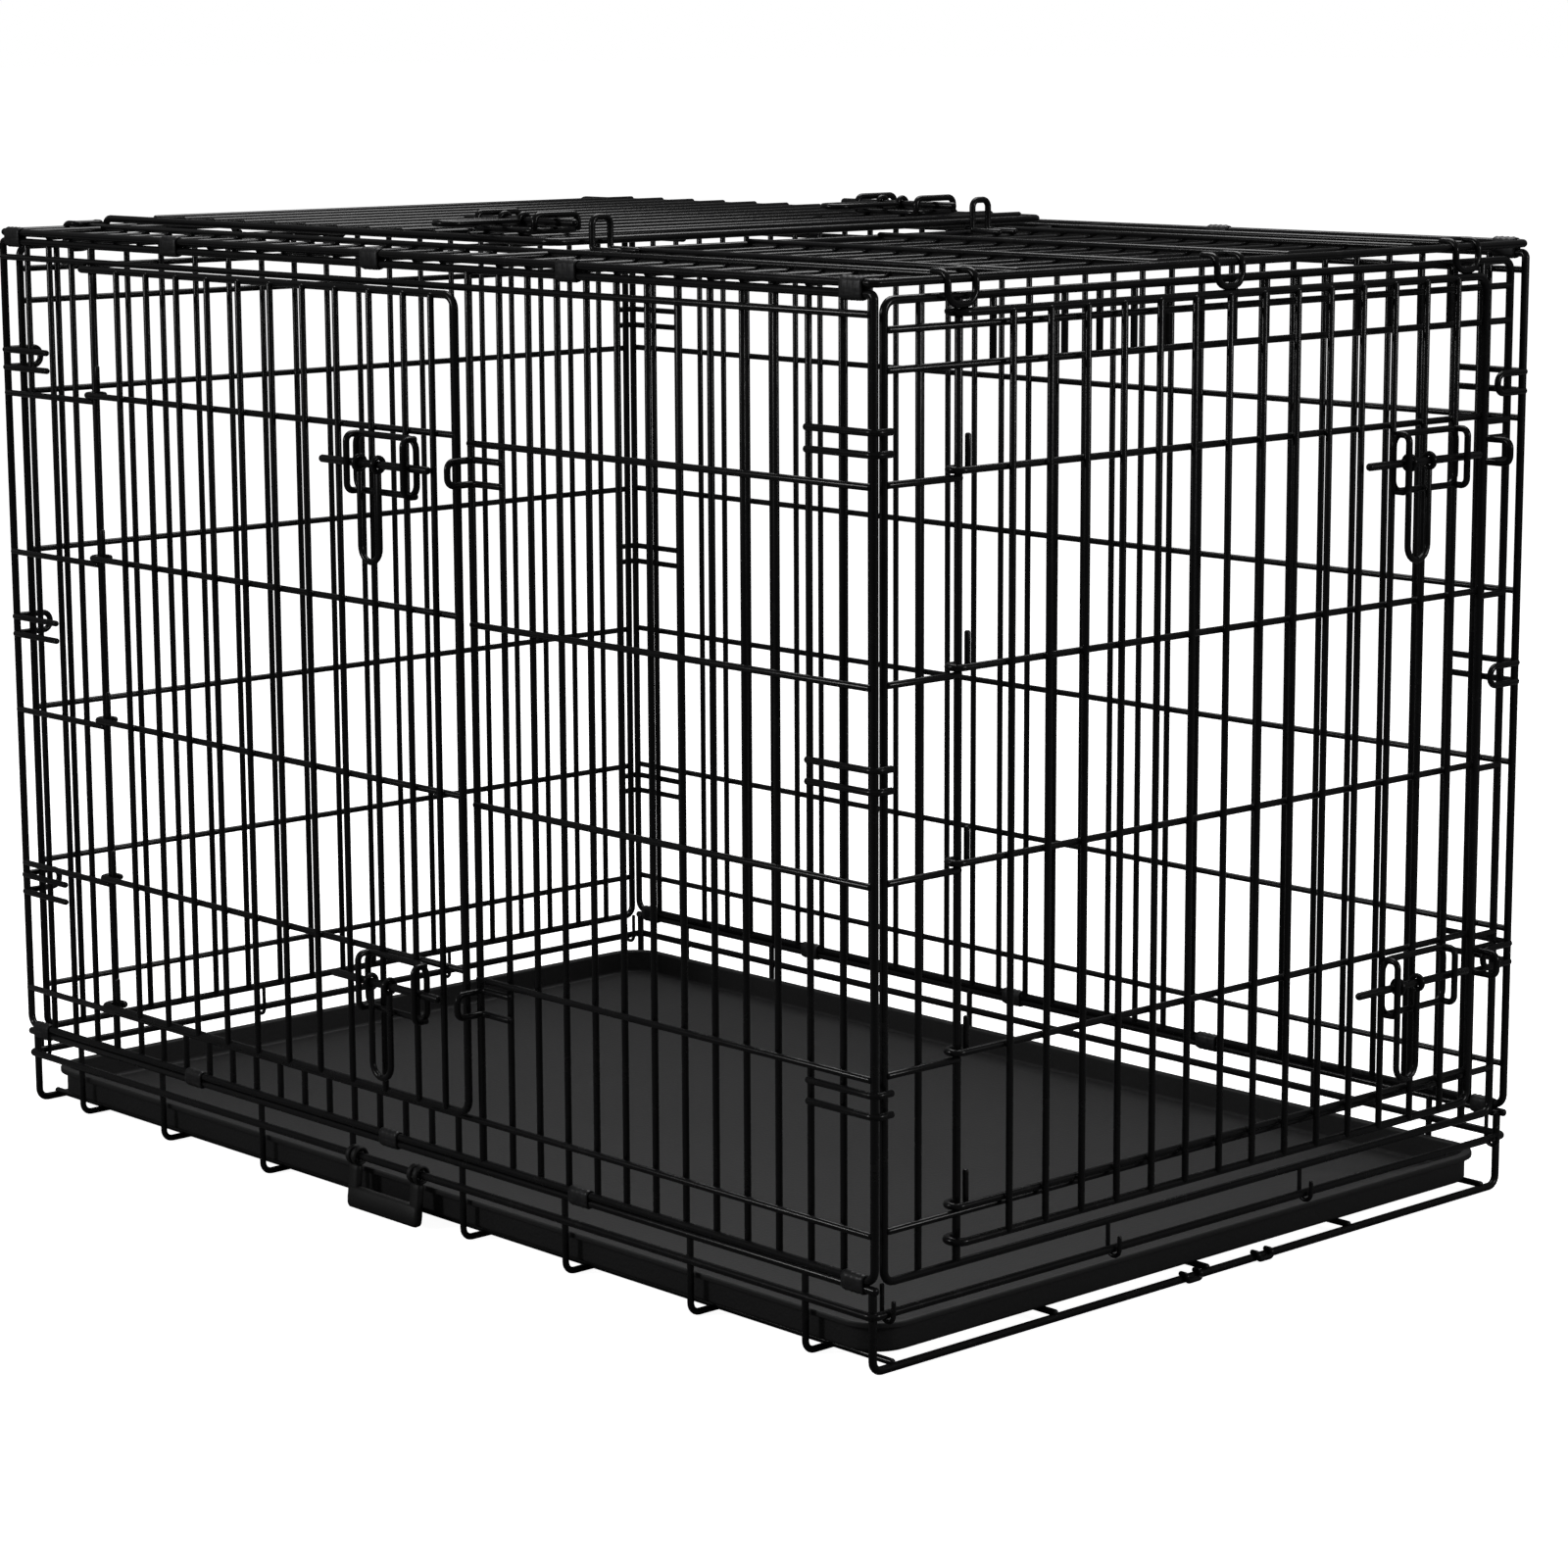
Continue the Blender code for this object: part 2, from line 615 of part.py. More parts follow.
def pivots():
    """Where each moving piece turns or slides, in the crate frame's own axes."""
    side_edge = wire_x(LATCH_POST) - EDGE_SHORT
    end_edge = wire_y(END_LATCH_POST) - EDGE_SHORT
    points = {
        "side_door": FRONT @ Vector((wire_x(SIDE_HINGE_POST), 0, 0)),
        "end_door": RIGHT @ Vector((wire_y(END_HINGE_POST), 0, 0)),
        "top_door": TOP @ Vector((wire_x(TOP_HINGE_POST), 0, 0)),
        "right_end_panel": Vector((LIP_RAIL_X, 0, LIP_RAIL_Z)),
        "left_end_panel": Vector((-LIP_RAIL_X, 0, LIP_RAIL_Z)),
        "carry_handle": Vector((CARRY_X, -LIP_RAIL_Y, LIP_RAIL_Z)),
    }
    bolts = [
        ("side_upper", FRONT, side_edge, SIDE_LATCH_Z[0]),
        ("side_lower", FRONT, side_edge, SIDE_LATCH_Z[1]),
        ("end_upper", RIGHT, end_edge, END_LATCH_Z[0]),
        ("end_lower", RIGHT, end_edge, END_LATCH_Z[1]),
        ("top_front", TOP, side_edge, TOP_LATCH_Y[0]),
        ("top_rear", TOP, side_edge, TOP_LATCH_Y[1]),
    ]
    for prefix, at, edge, height in bolts:
        axis = latch_frame(at, edge, height) @ Vector((HANDLE_MID, 0, ROD_W))
        points[prefix + "_bolt"] = axis
        points[prefix + "_handle"] = axis
    return points


def build():
    clear_scene()
    group = new_collection("wire_dog_crate")
    floor_grid(group)
    pan(group)
    side_panel("front_side_panel", FRONT, True, group)
    side_panel("rear_side_panel", REAR, False, group)
    end_panel("right_end_panel", RIGHT, True, group)
    end_panel("left_end_panel", LEFT, False, group)
    top_panel(group)

    side_edge = wire_x(LATCH_POST) - EDGE_SHORT
    end_edge = wire_y(END_LATCH_POST) - EDGE_SHORT
    lifted = [height + DOOR_LIFT for height in CROSS_Z]
    side_bars = [side_edge - 0.0254] + [side_edge - 0.0588 - DOOR_STEP * i for i in range(10)]
    top_bars = [side_edge - 0.0254] + [side_edge - 0.0588 - DOOR_STEP * i for i in range(12)]
    end_bars = [end_edge - END_DOOR_STEP * i for i in range(1, 15)]
    door("side_door", FRONT, wire_x(SIDE_HINGE_POST), side_edge, lifted,
         SILL_Z + DOOR_LIFT, HEADER_Z - DOOR_LIFT, side_bars, group)
    door("end_door", RIGHT, wire_y(END_HINGE_POST), end_edge, [SILL_Z + DOOR_LIFT] + lifted,
         0.083, 0.735, end_bars, group)
    door("top_door", TOP, wire_x(TOP_HINGE_POST), side_edge, [-TOP_DOOR_Y / 2, 0, TOP_DOOR_Y / 2],
         -TOP_DOOR_Y, TOP_DOOR_Y, top_bars, group)

    side_posts = (wire_x(LATCH_POST), wire_x(LATCH_POST - 1) + KEEPER_PAST)
    end_posts = (wire_y(END_LATCH_POST), wire_y(END_LATCH_POST + 1) - RAIL / 2 - GAP)
    for label, height in zip(("upper", "lower"), SIDE_LATCH_Z):
        latch("side_" + label, FRONT, side_edge, height, side_posts, group)
    for label, height in zip(("upper", "lower"), END_LATCH_Z):
        latch("end_" + label, RIGHT, end_edge, height, end_posts, group)
    for label, height in zip(("front", "rear"), TOP_LATCH_Y):
        latch("top_" + label, TOP, side_edge, height, side_posts, group)

    clips(group)
    carry_handle(group)

    for name, point in pivots().items():
        set_pivot(group.objects[name], point)
    for piece in group.objects:
        piece.location -= Vector(OUTLINE_MID)


build()
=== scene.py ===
# %% [markdown]
# # A folding wire dog crate
# The crate is six welded wire grilles, three of them with a door, a plastic pan and a
# moulded carry handle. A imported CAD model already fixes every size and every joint, with
# each wire as a square bar. This lesson dresses it: each grille is made again from round
# wires that follow the same lines, and every finish is a procedural material.

# %% Load the fixed frame
import json
import math

import bpy
import numpy as np
from mathutils import Matrix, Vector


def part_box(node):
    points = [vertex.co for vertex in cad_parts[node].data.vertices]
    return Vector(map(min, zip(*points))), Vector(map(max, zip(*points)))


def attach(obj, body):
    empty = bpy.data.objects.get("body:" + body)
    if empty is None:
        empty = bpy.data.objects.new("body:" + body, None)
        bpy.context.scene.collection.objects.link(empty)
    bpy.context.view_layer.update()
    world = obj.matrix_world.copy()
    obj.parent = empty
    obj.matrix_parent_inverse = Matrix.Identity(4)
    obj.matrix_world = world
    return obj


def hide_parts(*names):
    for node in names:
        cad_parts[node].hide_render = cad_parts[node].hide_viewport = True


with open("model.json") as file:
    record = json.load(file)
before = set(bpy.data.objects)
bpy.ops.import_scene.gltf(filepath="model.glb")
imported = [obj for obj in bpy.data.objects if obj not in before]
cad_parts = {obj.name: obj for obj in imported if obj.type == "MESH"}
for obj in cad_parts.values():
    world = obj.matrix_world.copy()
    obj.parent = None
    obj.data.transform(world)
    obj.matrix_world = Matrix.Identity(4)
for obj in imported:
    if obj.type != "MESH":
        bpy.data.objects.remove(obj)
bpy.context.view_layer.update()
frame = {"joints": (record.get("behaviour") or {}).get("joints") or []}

# %% [markdown]
# ## Sizes
# The hinges of the doors stand on wires whose numbers are known, so their places in the
# record give the pitch of the wires and the planes of the panels. What the joints don't
# say, such as the heights of the cross wires, is named here once.

# %% Read the panels' planes from the joints
HINGES = {joint["name"]: np.array(joint.get("pos_m", (0, 0, 0)), float) for joint in frame["joints"]}
SIDE_HINGE, TOP_HINGE, END_HINGE = (HINGES[name] for name in
                                    ("side_door_hinge", "top_door_hinge", "end_door_hinge"))
grid_low, grid_high = (np.array(corner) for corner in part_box("floor_grid"))
MID = (grid_low + grid_high) / 2 * (1, 1, 0)
SIDE_Y = MID[1] - SIDE_HINGE[1]
END_X = END_HINGE[0] - MID[0]
TOP_Z = TOP_HINGE[2]
SIDE_HINGE_POST, TOP_HINGE_POST, LATCH_POST, BAYS = 28, 31, 13, 32
END_HINGE_POST, END_LATCH_POST, END_BAYS = 2, 18, 19
PITCH = (SIDE_HINGE[0] - TOP_HINGE[0]) / (TOP_HINGE_POST - SIDE_HINGE_POST)
CORNER_X = SIDE_HINGE[0] - MID[0] + SIDE_HINGE_POST * PITCH
END_CORNER = (MID[1] - END_HINGE[1]) / (1 - 2 * END_HINGE_POST / END_BAYS)
END_PITCH = 2 * END_CORNER / END_BAYS
print("pitch", round(PITCH, 5), "end pitch", round(END_PITCH, 5), "corner", round(CORNER_X, 4))


def wire_x(number):
    """Upright number 0 to 32 of a side, counted from the +X end."""
    return CORNER_X - np.asarray(number) * PITCH


def wire_y(number):
    """Upright number 0 to 19 of an end, counted from the -Y end."""
    return np.asarray(number) * END_PITCH - END_CORNER


# %% [markdown]
# ## Wires, heights and doors
# Three thicknesses of wire make the whole crate. Wires that cross lie one layer apart, half
# on each side of the frame. A door lies outside its panel, in three layers of its own.

# %% Wires, heights and doors
WIRE_R, RAIL_R, POST_R = 0.0026, 0.0031, 0.0030
LAYER = 0.0023
SIDE_BOTTOM_Z, SIDE_TOP_Z = 0.0690, 0.7502
END_BOTTOM_Z, END_TOP_Z = 0.0655, 0.7455
HINGE_RAIL_Z, LIP_RAIL_Z = 0.0633, HINGES["right_end_fold"][2]
LIP_RAIL_X = HINGES["right_end_fold"][0] - MID[0]
LIP_RAIL_Y = MID[1] - HINGES["carry_handle_hinge"][1]
SILL_Z, HEADER_Z, END_HEADER_Z, END_BAND_Z = 0.103, 0.737, 0.699, 0.726
CROSS_Z = (0.214, 0.349, 0.486, 0.622)
DOOR_IN, DOOR_MID, DOOR_OUT = 0.0068, 0.0091, 0.0114
DOOR_LIFT, EDGE_SHORT = 0.0055, 0.0055
SIDE_EDGE = wire_x(LATCH_POST) - EDGE_SHORT
END_EDGE = wire_y(END_LATCH_POST) - EDGE_SHORT
TOP_DOORWAY_Y, TOP_DOOR_Y = 0.273, 0.265

# %% [markdown]
# ## Panels lie in planes
# Every grille is flat, so it is drawn in its own axes: u along it, v up it, w out of it.
# One small class turns such points into the world. The front, rear, ends and top then
# share the same drawing code, and only the plane changes.

# %% The plane of a panel


class Plane:
    """world = origin + u U + v V + w W, where W is U x V and points out of the crate."""

    def __init__(self, origin, along, rise):
        self.origin = np.array(origin, float)
        self.axes = np.array([along, rise, np.cross(along, rise)], float)

    def world(self, points):
        return self.origin + points @ self.axes

    def moved(self, u, v):
        return Plane(self.world(np.array([u, v, 0.0])), self.axes[0], self.axes[1])


X, Y, Z = np.eye(3)
FRONT = Plane(MID - SIDE_Y * Y, X, Z)
REAR = Plane(MID + SIDE_Y * Y, -X, Z)
RIGHT = Plane(MID + END_X * X, Y, Z)
LEFT = Plane(MID - END_X * X, -Y, Z)
TOP = Plane(MID + TOP_Z * Z, X, Y)
FLAT = Plane(MID, X, Y)

# %% [markdown]
# ## Round wire
# A Blender curve with a bevel would give a wire, but its ends would be flat caps. Sawn and
# coated wire has soft, rounded tips, so the tube is worked out here: rings of points round
# a path, with the rings shrinking over a quarter circle at both tips.

# %% Paths with rounded corners
CORNER_STEPS = 6


def bent(points, radius, closed=False):
    """Every inner corner c becomes a quarter round: c - r (1 - sin a) t1 + r (1 - cos a) t2,
    with t1 and t2 the directions into and out of the corner and a from 0 to 90 degrees."""
    points = np.asarray(points, float)
    ring = np.vstack([points[-1:], points, points[:1]]) if closed else points
    ways = np.diff(ring, axis=0)
    ways /= np.linalg.norm(ways, axis=1, keepdims=True)
    corners = ring[1:-1]
    radius = np.broadcast_to(np.asarray(radius, float), len(corners))[:, None, None]
    turn = np.linspace(0, math.pi / 2, CORNER_STEPS + 1)[None, :, None]
    before, after = ways[:-1, None], ways[1:, None]
    arcs = corners[:, None] - radius * (1 - np.sin(turn)) * before + radius * (1 - np.cos(turn)) * after
    arcs = arcs.reshape(-1, 3)
    return arcs if closed else np.vstack([points[:1], arcs, points[-1:]])


# %% [markdown]
# ## Tubes
# A ring of points stands square to the path at each of its points. Joining neighbouring
# rings gives the skin. A path either ends in two rounded tips or closes on itself.

# %% Rings, skins and tubes
SIDES, TIP_RINGS = 12, 3
LEAN = np.array([0.53, 0.39, 0.75])  # no wire of the crate runs this way


def unit(vectors):
    return vectors / np.linalg.norm(vectors, axis=-1, keepdims=True)


def skin(rings, poles=None):
    """Faces of a stack of rings. Face (i, j) joins points j and j + 1 of rings i and i + 1.
    Two poles close the ends with fans; without poles the last ring meets the first."""
    count, sides = rings.shape[:2]
    index = np.arange(count * sides).reshape(count, sides)
    if poles is None:
        index = np.vstack([index, index[:1]])
    here, there = index[:-1], index[1:]
    quads = np.stack([here, np.roll(here, -1, 1), np.roll(there, -1, 1), there], -1).reshape(-1, 4)
    points, fans = rings.reshape(-1, 3), np.empty((0, 3), int)
    if poles is not None:
        points = np.vstack([points, poles])
        first, last = index[0], index[-1]
        tip, tail = np.full(sides, count * sides), np.full(sides, count * sides + 1)
        fans = np.vstack([np.stack([tip, np.roll(first, -1), first], -1),
                          np.stack([tail, last, np.roll(last, -1)], -1)])
    return points, quads, fans


def rings_round(centres, radii, closed=False, stretch=(1, 1), lean=LEAN, boxy=1.0):
    """Point j of ring i is c_i + r_i (cos a_j e_i + sin a_j f_i), with e_i = t_i x lean and
    f_i = t_i x e_i, so the ring stands square to the path's direction t_i. Stretch scales the
    two terms, and a boxy below 1 raises |cos| and |sin| to that power: a rounded rectangle."""
    around = np.vstack([centres[-1:], centres, centres[:1]]) if closed else np.vstack(
        [2 * centres[:1] - centres[1:2], centres, 2 * centres[-1:] - centres[-2:-1]])
    steps = unit(np.diff(around, axis=0))
    ways = unit(steps[:-1] + steps[1:])
    across = unit(np.cross(ways, lean))
    above = np.cross(ways, across)
    angle = np.arange(SIDES) * 2 * math.pi / SIDES
    wide, high = (np.sign(part) * np.abs(part) ** boxy for part in (np.cos(angle), np.sin(angle)))
    circle = (wide[None, :, None] * across[:, None] * stretch[0]
              + high[None, :, None] * above[:, None] * stretch[1])
    return centres[:, None] + np.asarray(radii, float).reshape(-1, 1, 1) * circle


def wire(path, radius, blunt=0.7, stretch=(1, 1), lean=LEAN, boxy=1.0):
    """An open wire: at each tip the ring at angle q has radius r sin q and stands
    blunt * r * (1 - cos q) in from the very end."""
    path = np.asarray(path, float)
    swing = np.linspace(0, math.pi / 2, TIP_RINGS + 1)[1:]
    inset = (blunt * radius * (1 - np.cos(swing)))[:, None]
    head = path[0] + inset * unit(path[1] - path[0])
    tail = path[-1] - inset * unit(path[-1] - path[-2])
    centres = np.vstack([head, path[1:-1], tail[::-1]])
    radii = radius * np.concatenate([np.sin(swing), np.ones(len(path) - 2), np.sin(swing)[::-1]])
    return skin(rings_round(centres, radii, False, stretch, lean, boxy), poles=path[[0, -1]])


def hoop(path, radius, stretch=(1, 1), lean=LEAN):
    """A closed loop of wire. A stretch flattens its section, across and along the lean."""
    path = np.asarray(path, float)
    return skin(rings_round(path, np.full(len(path), radius), True, stretch, lean))


# %% [markdown]
# ## Weld beads
# Where two wires cross, the weld leaves a small flat lump. One ball is worked out and then
# copied to every crossing.

# %% Weld beads
BEAD_SIDES, BEAD_ROWS = 8, 3


def beads(centres, size):
    """Small ellipsoids c + (a cos p cos q, b cos p sin q, c sin p), one for each weld."""
    rise = np.linspace(-math.pi / 2, math.pi / 2, BEAD_ROWS + 2)[1:-1]
    angle = np.arange(BEAD_SIDES) * 2 * math.pi / BEAD_SIDES
    ball = np.stack([np.cos(rise)[:, None] * np.cos(angle), np.cos(rise)[:, None] * np.sin(angle),
                     np.sin(rise)[:, None] * np.ones(BEAD_SIDES)], -1)
    points, quads, fans = skin(ball, poles=np.array([[0, 0, -1.0], [0, 0, 1.0]]))
    centres = np.asarray(centres, float).reshape(-1, 1, 3)
    shift = (np.arange(len(centres)) * len(points)).reshape(-1, 1, 1)
    return ((centres + points * np.asarray(size)).reshape(-1, 3),
            (quads + shift).reshape(-1, 4), (fans + shift).reshape(-1, 3))


# %% [markdown]
# ## One piece, many wires
# A welded grille is one piece with hundreds of crossings. Each wire is its own closed
# surface, and a collector stacks them into a single mesh, in the world's own axes, so the
# finished object sits at the origin.

# %% The collector
MADE = []


class Wirework:
    """Collects closed surfaces drawn in a plane's (u, v, w) and makes one object of them."""

    def __init__(self, plane):
        self.plane, self.count = plane, 0
        self.points, self.quads, self.fans = [], [], []

    def add(self, surface, plane=None):
        points, quads, fans = surface
        self.points.append((plane or self.plane).world(points))
        self.quads.append(quads + self.count)
        self.fans.append(fans + self.count)
        self.count += len(points)

    def line(self, start, end, radius=WIRE_R):
        self.add(wire([start, end], radius))

    def bend(self, points, corner, radius=WIRE_R):
        self.add(wire(bent(points, corner), radius))

    def finish(self, name, body, slot, finish, *nodes):
        mesh = bpy.data.meshes.new(name + "_piece")
        faces = np.vstack(self.quads).tolist() + np.vstack(self.fans).tolist()
        mesh.from_pydata(np.vstack(self.points), [], faces)
        mesh.polygons.foreach_set("use_smooth", np.ones(len(mesh.polygons), bool))
        mesh.materials.append(finish)
        mesh.update()
        piece = bpy.data.objects.new(name + "_piece", mesh)
        bpy.context.scene.collection.objects.link(piece)
        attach(piece, body)
        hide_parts(*nodes)
        MADE.append(len(mesh.polygons))
        print(f"{name}: {len(mesh.polygons)} faces")
        return piece


# %% [markdown]
# ## Writing shaders as expressions
# Shader maths reads best as a formula. A small class stands for one socket and adds a Math
# node for each operator. Everything else, such as noise, ramps, bumps and the shader
# itself, comes from one method that takes a node type, its settings and its inputs.

# %% Sockets with operators


class Signal:
    """One output socket, on which + and * add Math nodes."""

    def __init__(self, finish, socket):
        self.finish, self.socket = finish, socket

    def math(self, operation, other, swap=False):
        pair = (other, self) if swap else (self, other)
        return self.finish.node("ShaderNodeMath", {"operation": operation}, {0: pair[0], 1: pair[1]})

    def __add__(self, other):
        return self.math("ADD", other)

    def __radd__(self, other):
        return self.math("ADD", other, True)

    def __mul__(self, other):
        return self.math("MULTIPLY", other)

    def __rmul__(self, other):
        return self.math("MULTIPLY", other, True)


class Finish:
    """A material and the one method that adds nodes to it."""

    def __init__(self, name):
        self.made = bpy.data.materials.new(name)
        self.made.use_nodes = True
        self.tree = self.made.node_tree
        self.tree.nodes.clear()

    def node(self, kind, settings=None, inputs=None, output=0):
        new = self.tree.nodes.new(kind)
        for key, value in (settings or {}).items():
            if key == "stops":
                for stop, (place, colour) in zip(new.color_ramp.elements, value):
                    stop.position, stop.color = place, colour
            else:
                setattr(new, key, value)
        for key, value in (inputs or {}).items():
            if isinstance(value, Signal):
                self.tree.links.new(value.socket, new.inputs[key])
            else:
                new.inputs[key].default_value = value
        return Signal(self, new.outputs[output]) if new.outputs else None

    def where(self, scale=(1, 1, 1)):
        place = self.node("ShaderNodeTexCoord", output="Object")
        return self.node("ShaderNodeMapping", None, {"Vector": place, "Scale": scale})

    def noise(self, place, scale, detail=3.0, rough=0.55):
        return self.node("ShaderNodeTexNoise", None,
                         {"Vector": place, "Scale": scale, "Detail": detail, "Roughness": rough})

    def ramp(self, value, low, high):
        stops = [(low, (0, 0, 0, 1)), (high, (1, 1, 1, 1))]
        return self.node("ShaderNodeValToRGB", {"stops": stops}, {"Fac": value})

    def mix(self, factor, one, other):
        return self.node("ShaderNodeMix", {"data_type": "RGBA"}, {0: factor, 6: one, 7: other}, output=2)

    def bump(self, height, strength, distance):
        return self.node("ShaderNodeBump", None,
                         {"Height": height, "Strength": strength, "Distance": distance})

    def shader(self, **inputs):
        keys = {key.replace("_", " "): value for key, value in inputs.items()}
        surface = self.node("ShaderNodeBsdfPrincipled", None, keys)
        self.node("ShaderNodeOutputMaterial", None, {"Surface": surface})
        return self.made


# %% [markdown]
# ## Black coating on wire
# The wires are dipped and baked: a near-black film with a soft gloss, a faint orange peel
# about a millimetre across, and here and there a duller, dustier patch. Colour, roughness
# and normal all vary from the same noises, so the patches agree with each other.

# %% The wire coating


def coated_wire():
    finish = Finish("black_wire_coating")
    place = finish.where()
    patches = finish.noise(place, 14.0, 4.0)
    peel = finish.noise(place, 700.0, 2.0, 0.5)
    dust = finish.ramp(finish.noise(place, 55.0, 5.0, 0.7), 0.55, 0.85)
    deep, pale = (0.0052, 0.0052, 0.0056, 1), (0.0105, 0.0105, 0.0110, 1)
    colour = finish.mix(patches, deep, pale)
    colour = finish.mix(dust * 0.35, colour, (0.030, 0.029, 0.028, 1))
    rough = 0.20 + patches * 0.08 + dust * 0.18
    normal = finish.bump(peel, 0.16, 0.0003)
    return finish.shader(Base_Color=colour, Roughness=rough, Normal=normal, Specular_IOR_Level=0.30)


BLACK_WIRE = coated_wire()

# %% [markdown]
# ## The base
# Ten wires run across the crate under the pan and turn up at both sides, where two long
# rails are welded to them: the lip rail, which goes all the way round and keeps the pan in,
# and above it the rail that the side panels are clipped to. The outermost cross wires are
# as thick as the rails. Bending each cross wire as one path gives its soft corners.

# %% Base
FLOOR_X = (0.070, 0.1935, 0.3355, 0.458, 0.5265)
FLOOR_Y = (-0.330, -0.165, 0.0, 0.165, 0.330)
FLOOR_LEG_Y, FLOOR_LONG_Z, FLOOR_BEND = 0.3487, 0.0068, 0.008
LEG_PAST, LONG_PAST, RAIL_PAST = 0.001, 0.002, 0.003
FLOOR_BEAD, FLOOR_BEAD_SINK = (0.0027, 0.0027, 0.0018), 0.0022
LIP_BEAD, LIP_BEAD_Y, LIP_BEND = (0.0036, 0.0026, 0.0036), 0.3505, 0.0050
PAN_STOP_Y, PAN_STOP_HALF = (-0.020, 0.061), 0.0075
PAN_STOP_OUT, PAN_STOP_LEG, PAN_STOP_HIGH, PAN_STOP_LOW = 0.0050, 0.008, 0.0070, 0.0023
PAN_STOP_BENDS, PAN_STOP_R = (0.0020, 0.0024, 0.0024, 0.0020), 0.0021


def base():
    work = Wirework(FLAT)
    for x in np.concatenate([-np.array(FLOOR_X), FLOOR_X]):
        radius = RAIL_R if abs(x) == FLOOR_X[-1] else WIRE_R
        rise = HINGE_RAIL_Z + LEG_PAST
        work.bend([(x, -FLOOR_LEG_Y, rise), (x, -FLOOR_LEG_Y, radius), (x, FLOOR_LEG_Y, radius),
                   (x, FLOOR_LEG_Y, rise)], FLOOR_BEND, radius)
        work.add(beads([(x, y, FLOOR_LONG_Z - FLOOR_BEAD_SINK) for y in FLOOR_Y], FLOOR_BEAD))
    for y in FLOOR_Y:
        work.line((-FLOOR_X[-1] - LONG_PAST, y, FLOOR_LONG_Z),
                  (FLOOR_X[-1] + LONG_PAST, y, FLOOR_LONG_Z))
    for side in (-1, 1):
        work.line((-CORNER_X - RAIL_PAST, side * SIDE_Y, HINGE_RAIL_Z),
                  (CORNER_X + RAIL_PAST, side * SIDE_Y, HINGE_RAIL_Z), RAIL_R)
        for x in np.concatenate([-np.array(FLOOR_X), FLOOR_X]):
            work.add(beads([(x, side * LIP_BEAD_Y, LIP_RAIL_Z)], LIP_BEAD))
    corners = [(-1, -1), (1, -1), (1, 1), (-1, 1)]
    work.add(hoop(bent([(a * LIP_RAIL_X, b * LIP_RAIL_Y, LIP_RAIL_Z) for a, b in corners],
                       LIP_BEND, closed=True), RAIL_R))
    out = FLOOR_X[-1] + PAN_STOP_OUT
    for y in PAN_STOP_Y:
        low, high = y - PAN_STOP_HALF, y + PAN_STOP_HALF
        work.bend([(out - PAN_STOP_LEG, low, PAN_STOP_HIGH), (out, low, PAN_STOP_HIGH),
                   (out, low, PAN_STOP_LOW), (out, high, PAN_STOP_LOW),
                   (out, high, PAN_STOP_HIGH), (out - PAN_STOP_LEG, high, PAN_STOP_HIGH)],
                  PAN_STOP_BENDS, PAN_STOP_R)
    return work.finish("floor_grid", "root", "black_wire", BLACK_WIRE, "floor_grid")


base()

# %% [markdown]
# ## Side panels
# Uprights stand on the inner side, cross wires lie on the outer side, and both are welded
# into a thicker frame. Near the corners, rods are welded on and turned round the corner:
# they hold the end panels when the crate stands. On two corners they are a closed loop.

# %% Parts that every panel shares
HOOK_Z, HOOK_HALF, HOOK_LONG, HOOK_X = (0.651, 0.422, 0.1955), 0.0075, 0.066, 0.5340
FRAME_BEND, TIGHT_BEND, HOOK_BEND, LOOP_BEND = 0.009, 0.0036, 0.006, 0.007
OPEN_REACH, LOOP_REACH, STUB_PAST, POST_PAST = 0.0150, 0.0350, 0.003, 0.001
BEAD = (0.0029, 0.0029, 0.0019)


def frame_loop(work, half, low, high, corners):
    """One wire bent into the panel's outline and butt-welded into a loop."""
    work.add(hoop(bent([(-half, low, 0), (half, low, 0), (half, high, 0), (-half, high, 0)],
                       corners, closed=True), RAIL_R))


def crossing_beads(work, us, vs):
    """A weld where every upright meets every cross wire."""
    grid = np.array([(u, v, 0.0) for u in us for v in vs])
    work.add(beads(grid, BEAD))


def corner_hooks(work, end, reach, looped):
    """Three pairs of rods turned round a corner, each pair joined into a loop or left open."""
    start, out = end * (CORNER_X - HOOK_LONG), end * HOOK_X
    for height in HOOK_Z:
        low, high = height - HOOK_HALF, height + HOOK_HALF
        if looped:
            work.bend([(start, low, LAYER), (out, low, LAYER), (out, low, -reach), (out, high, -reach),
                       (out, high, LAYER), (start, high, LAYER)],
                      (HOOK_BEND, LOOP_BEND, LOOP_BEND, HOOK_BEND))
        else:
            for v in (low, high):
                work.bend([(start, v, LAYER), (out, v, LAYER), (out, v, -reach)], HOOK_BEND)


# %% [markdown]
# ## The two side panels
# The same function draws both. The one with the doorway has two thick posts, and only short
# stubs of the uprights between them.

# %% Side panels


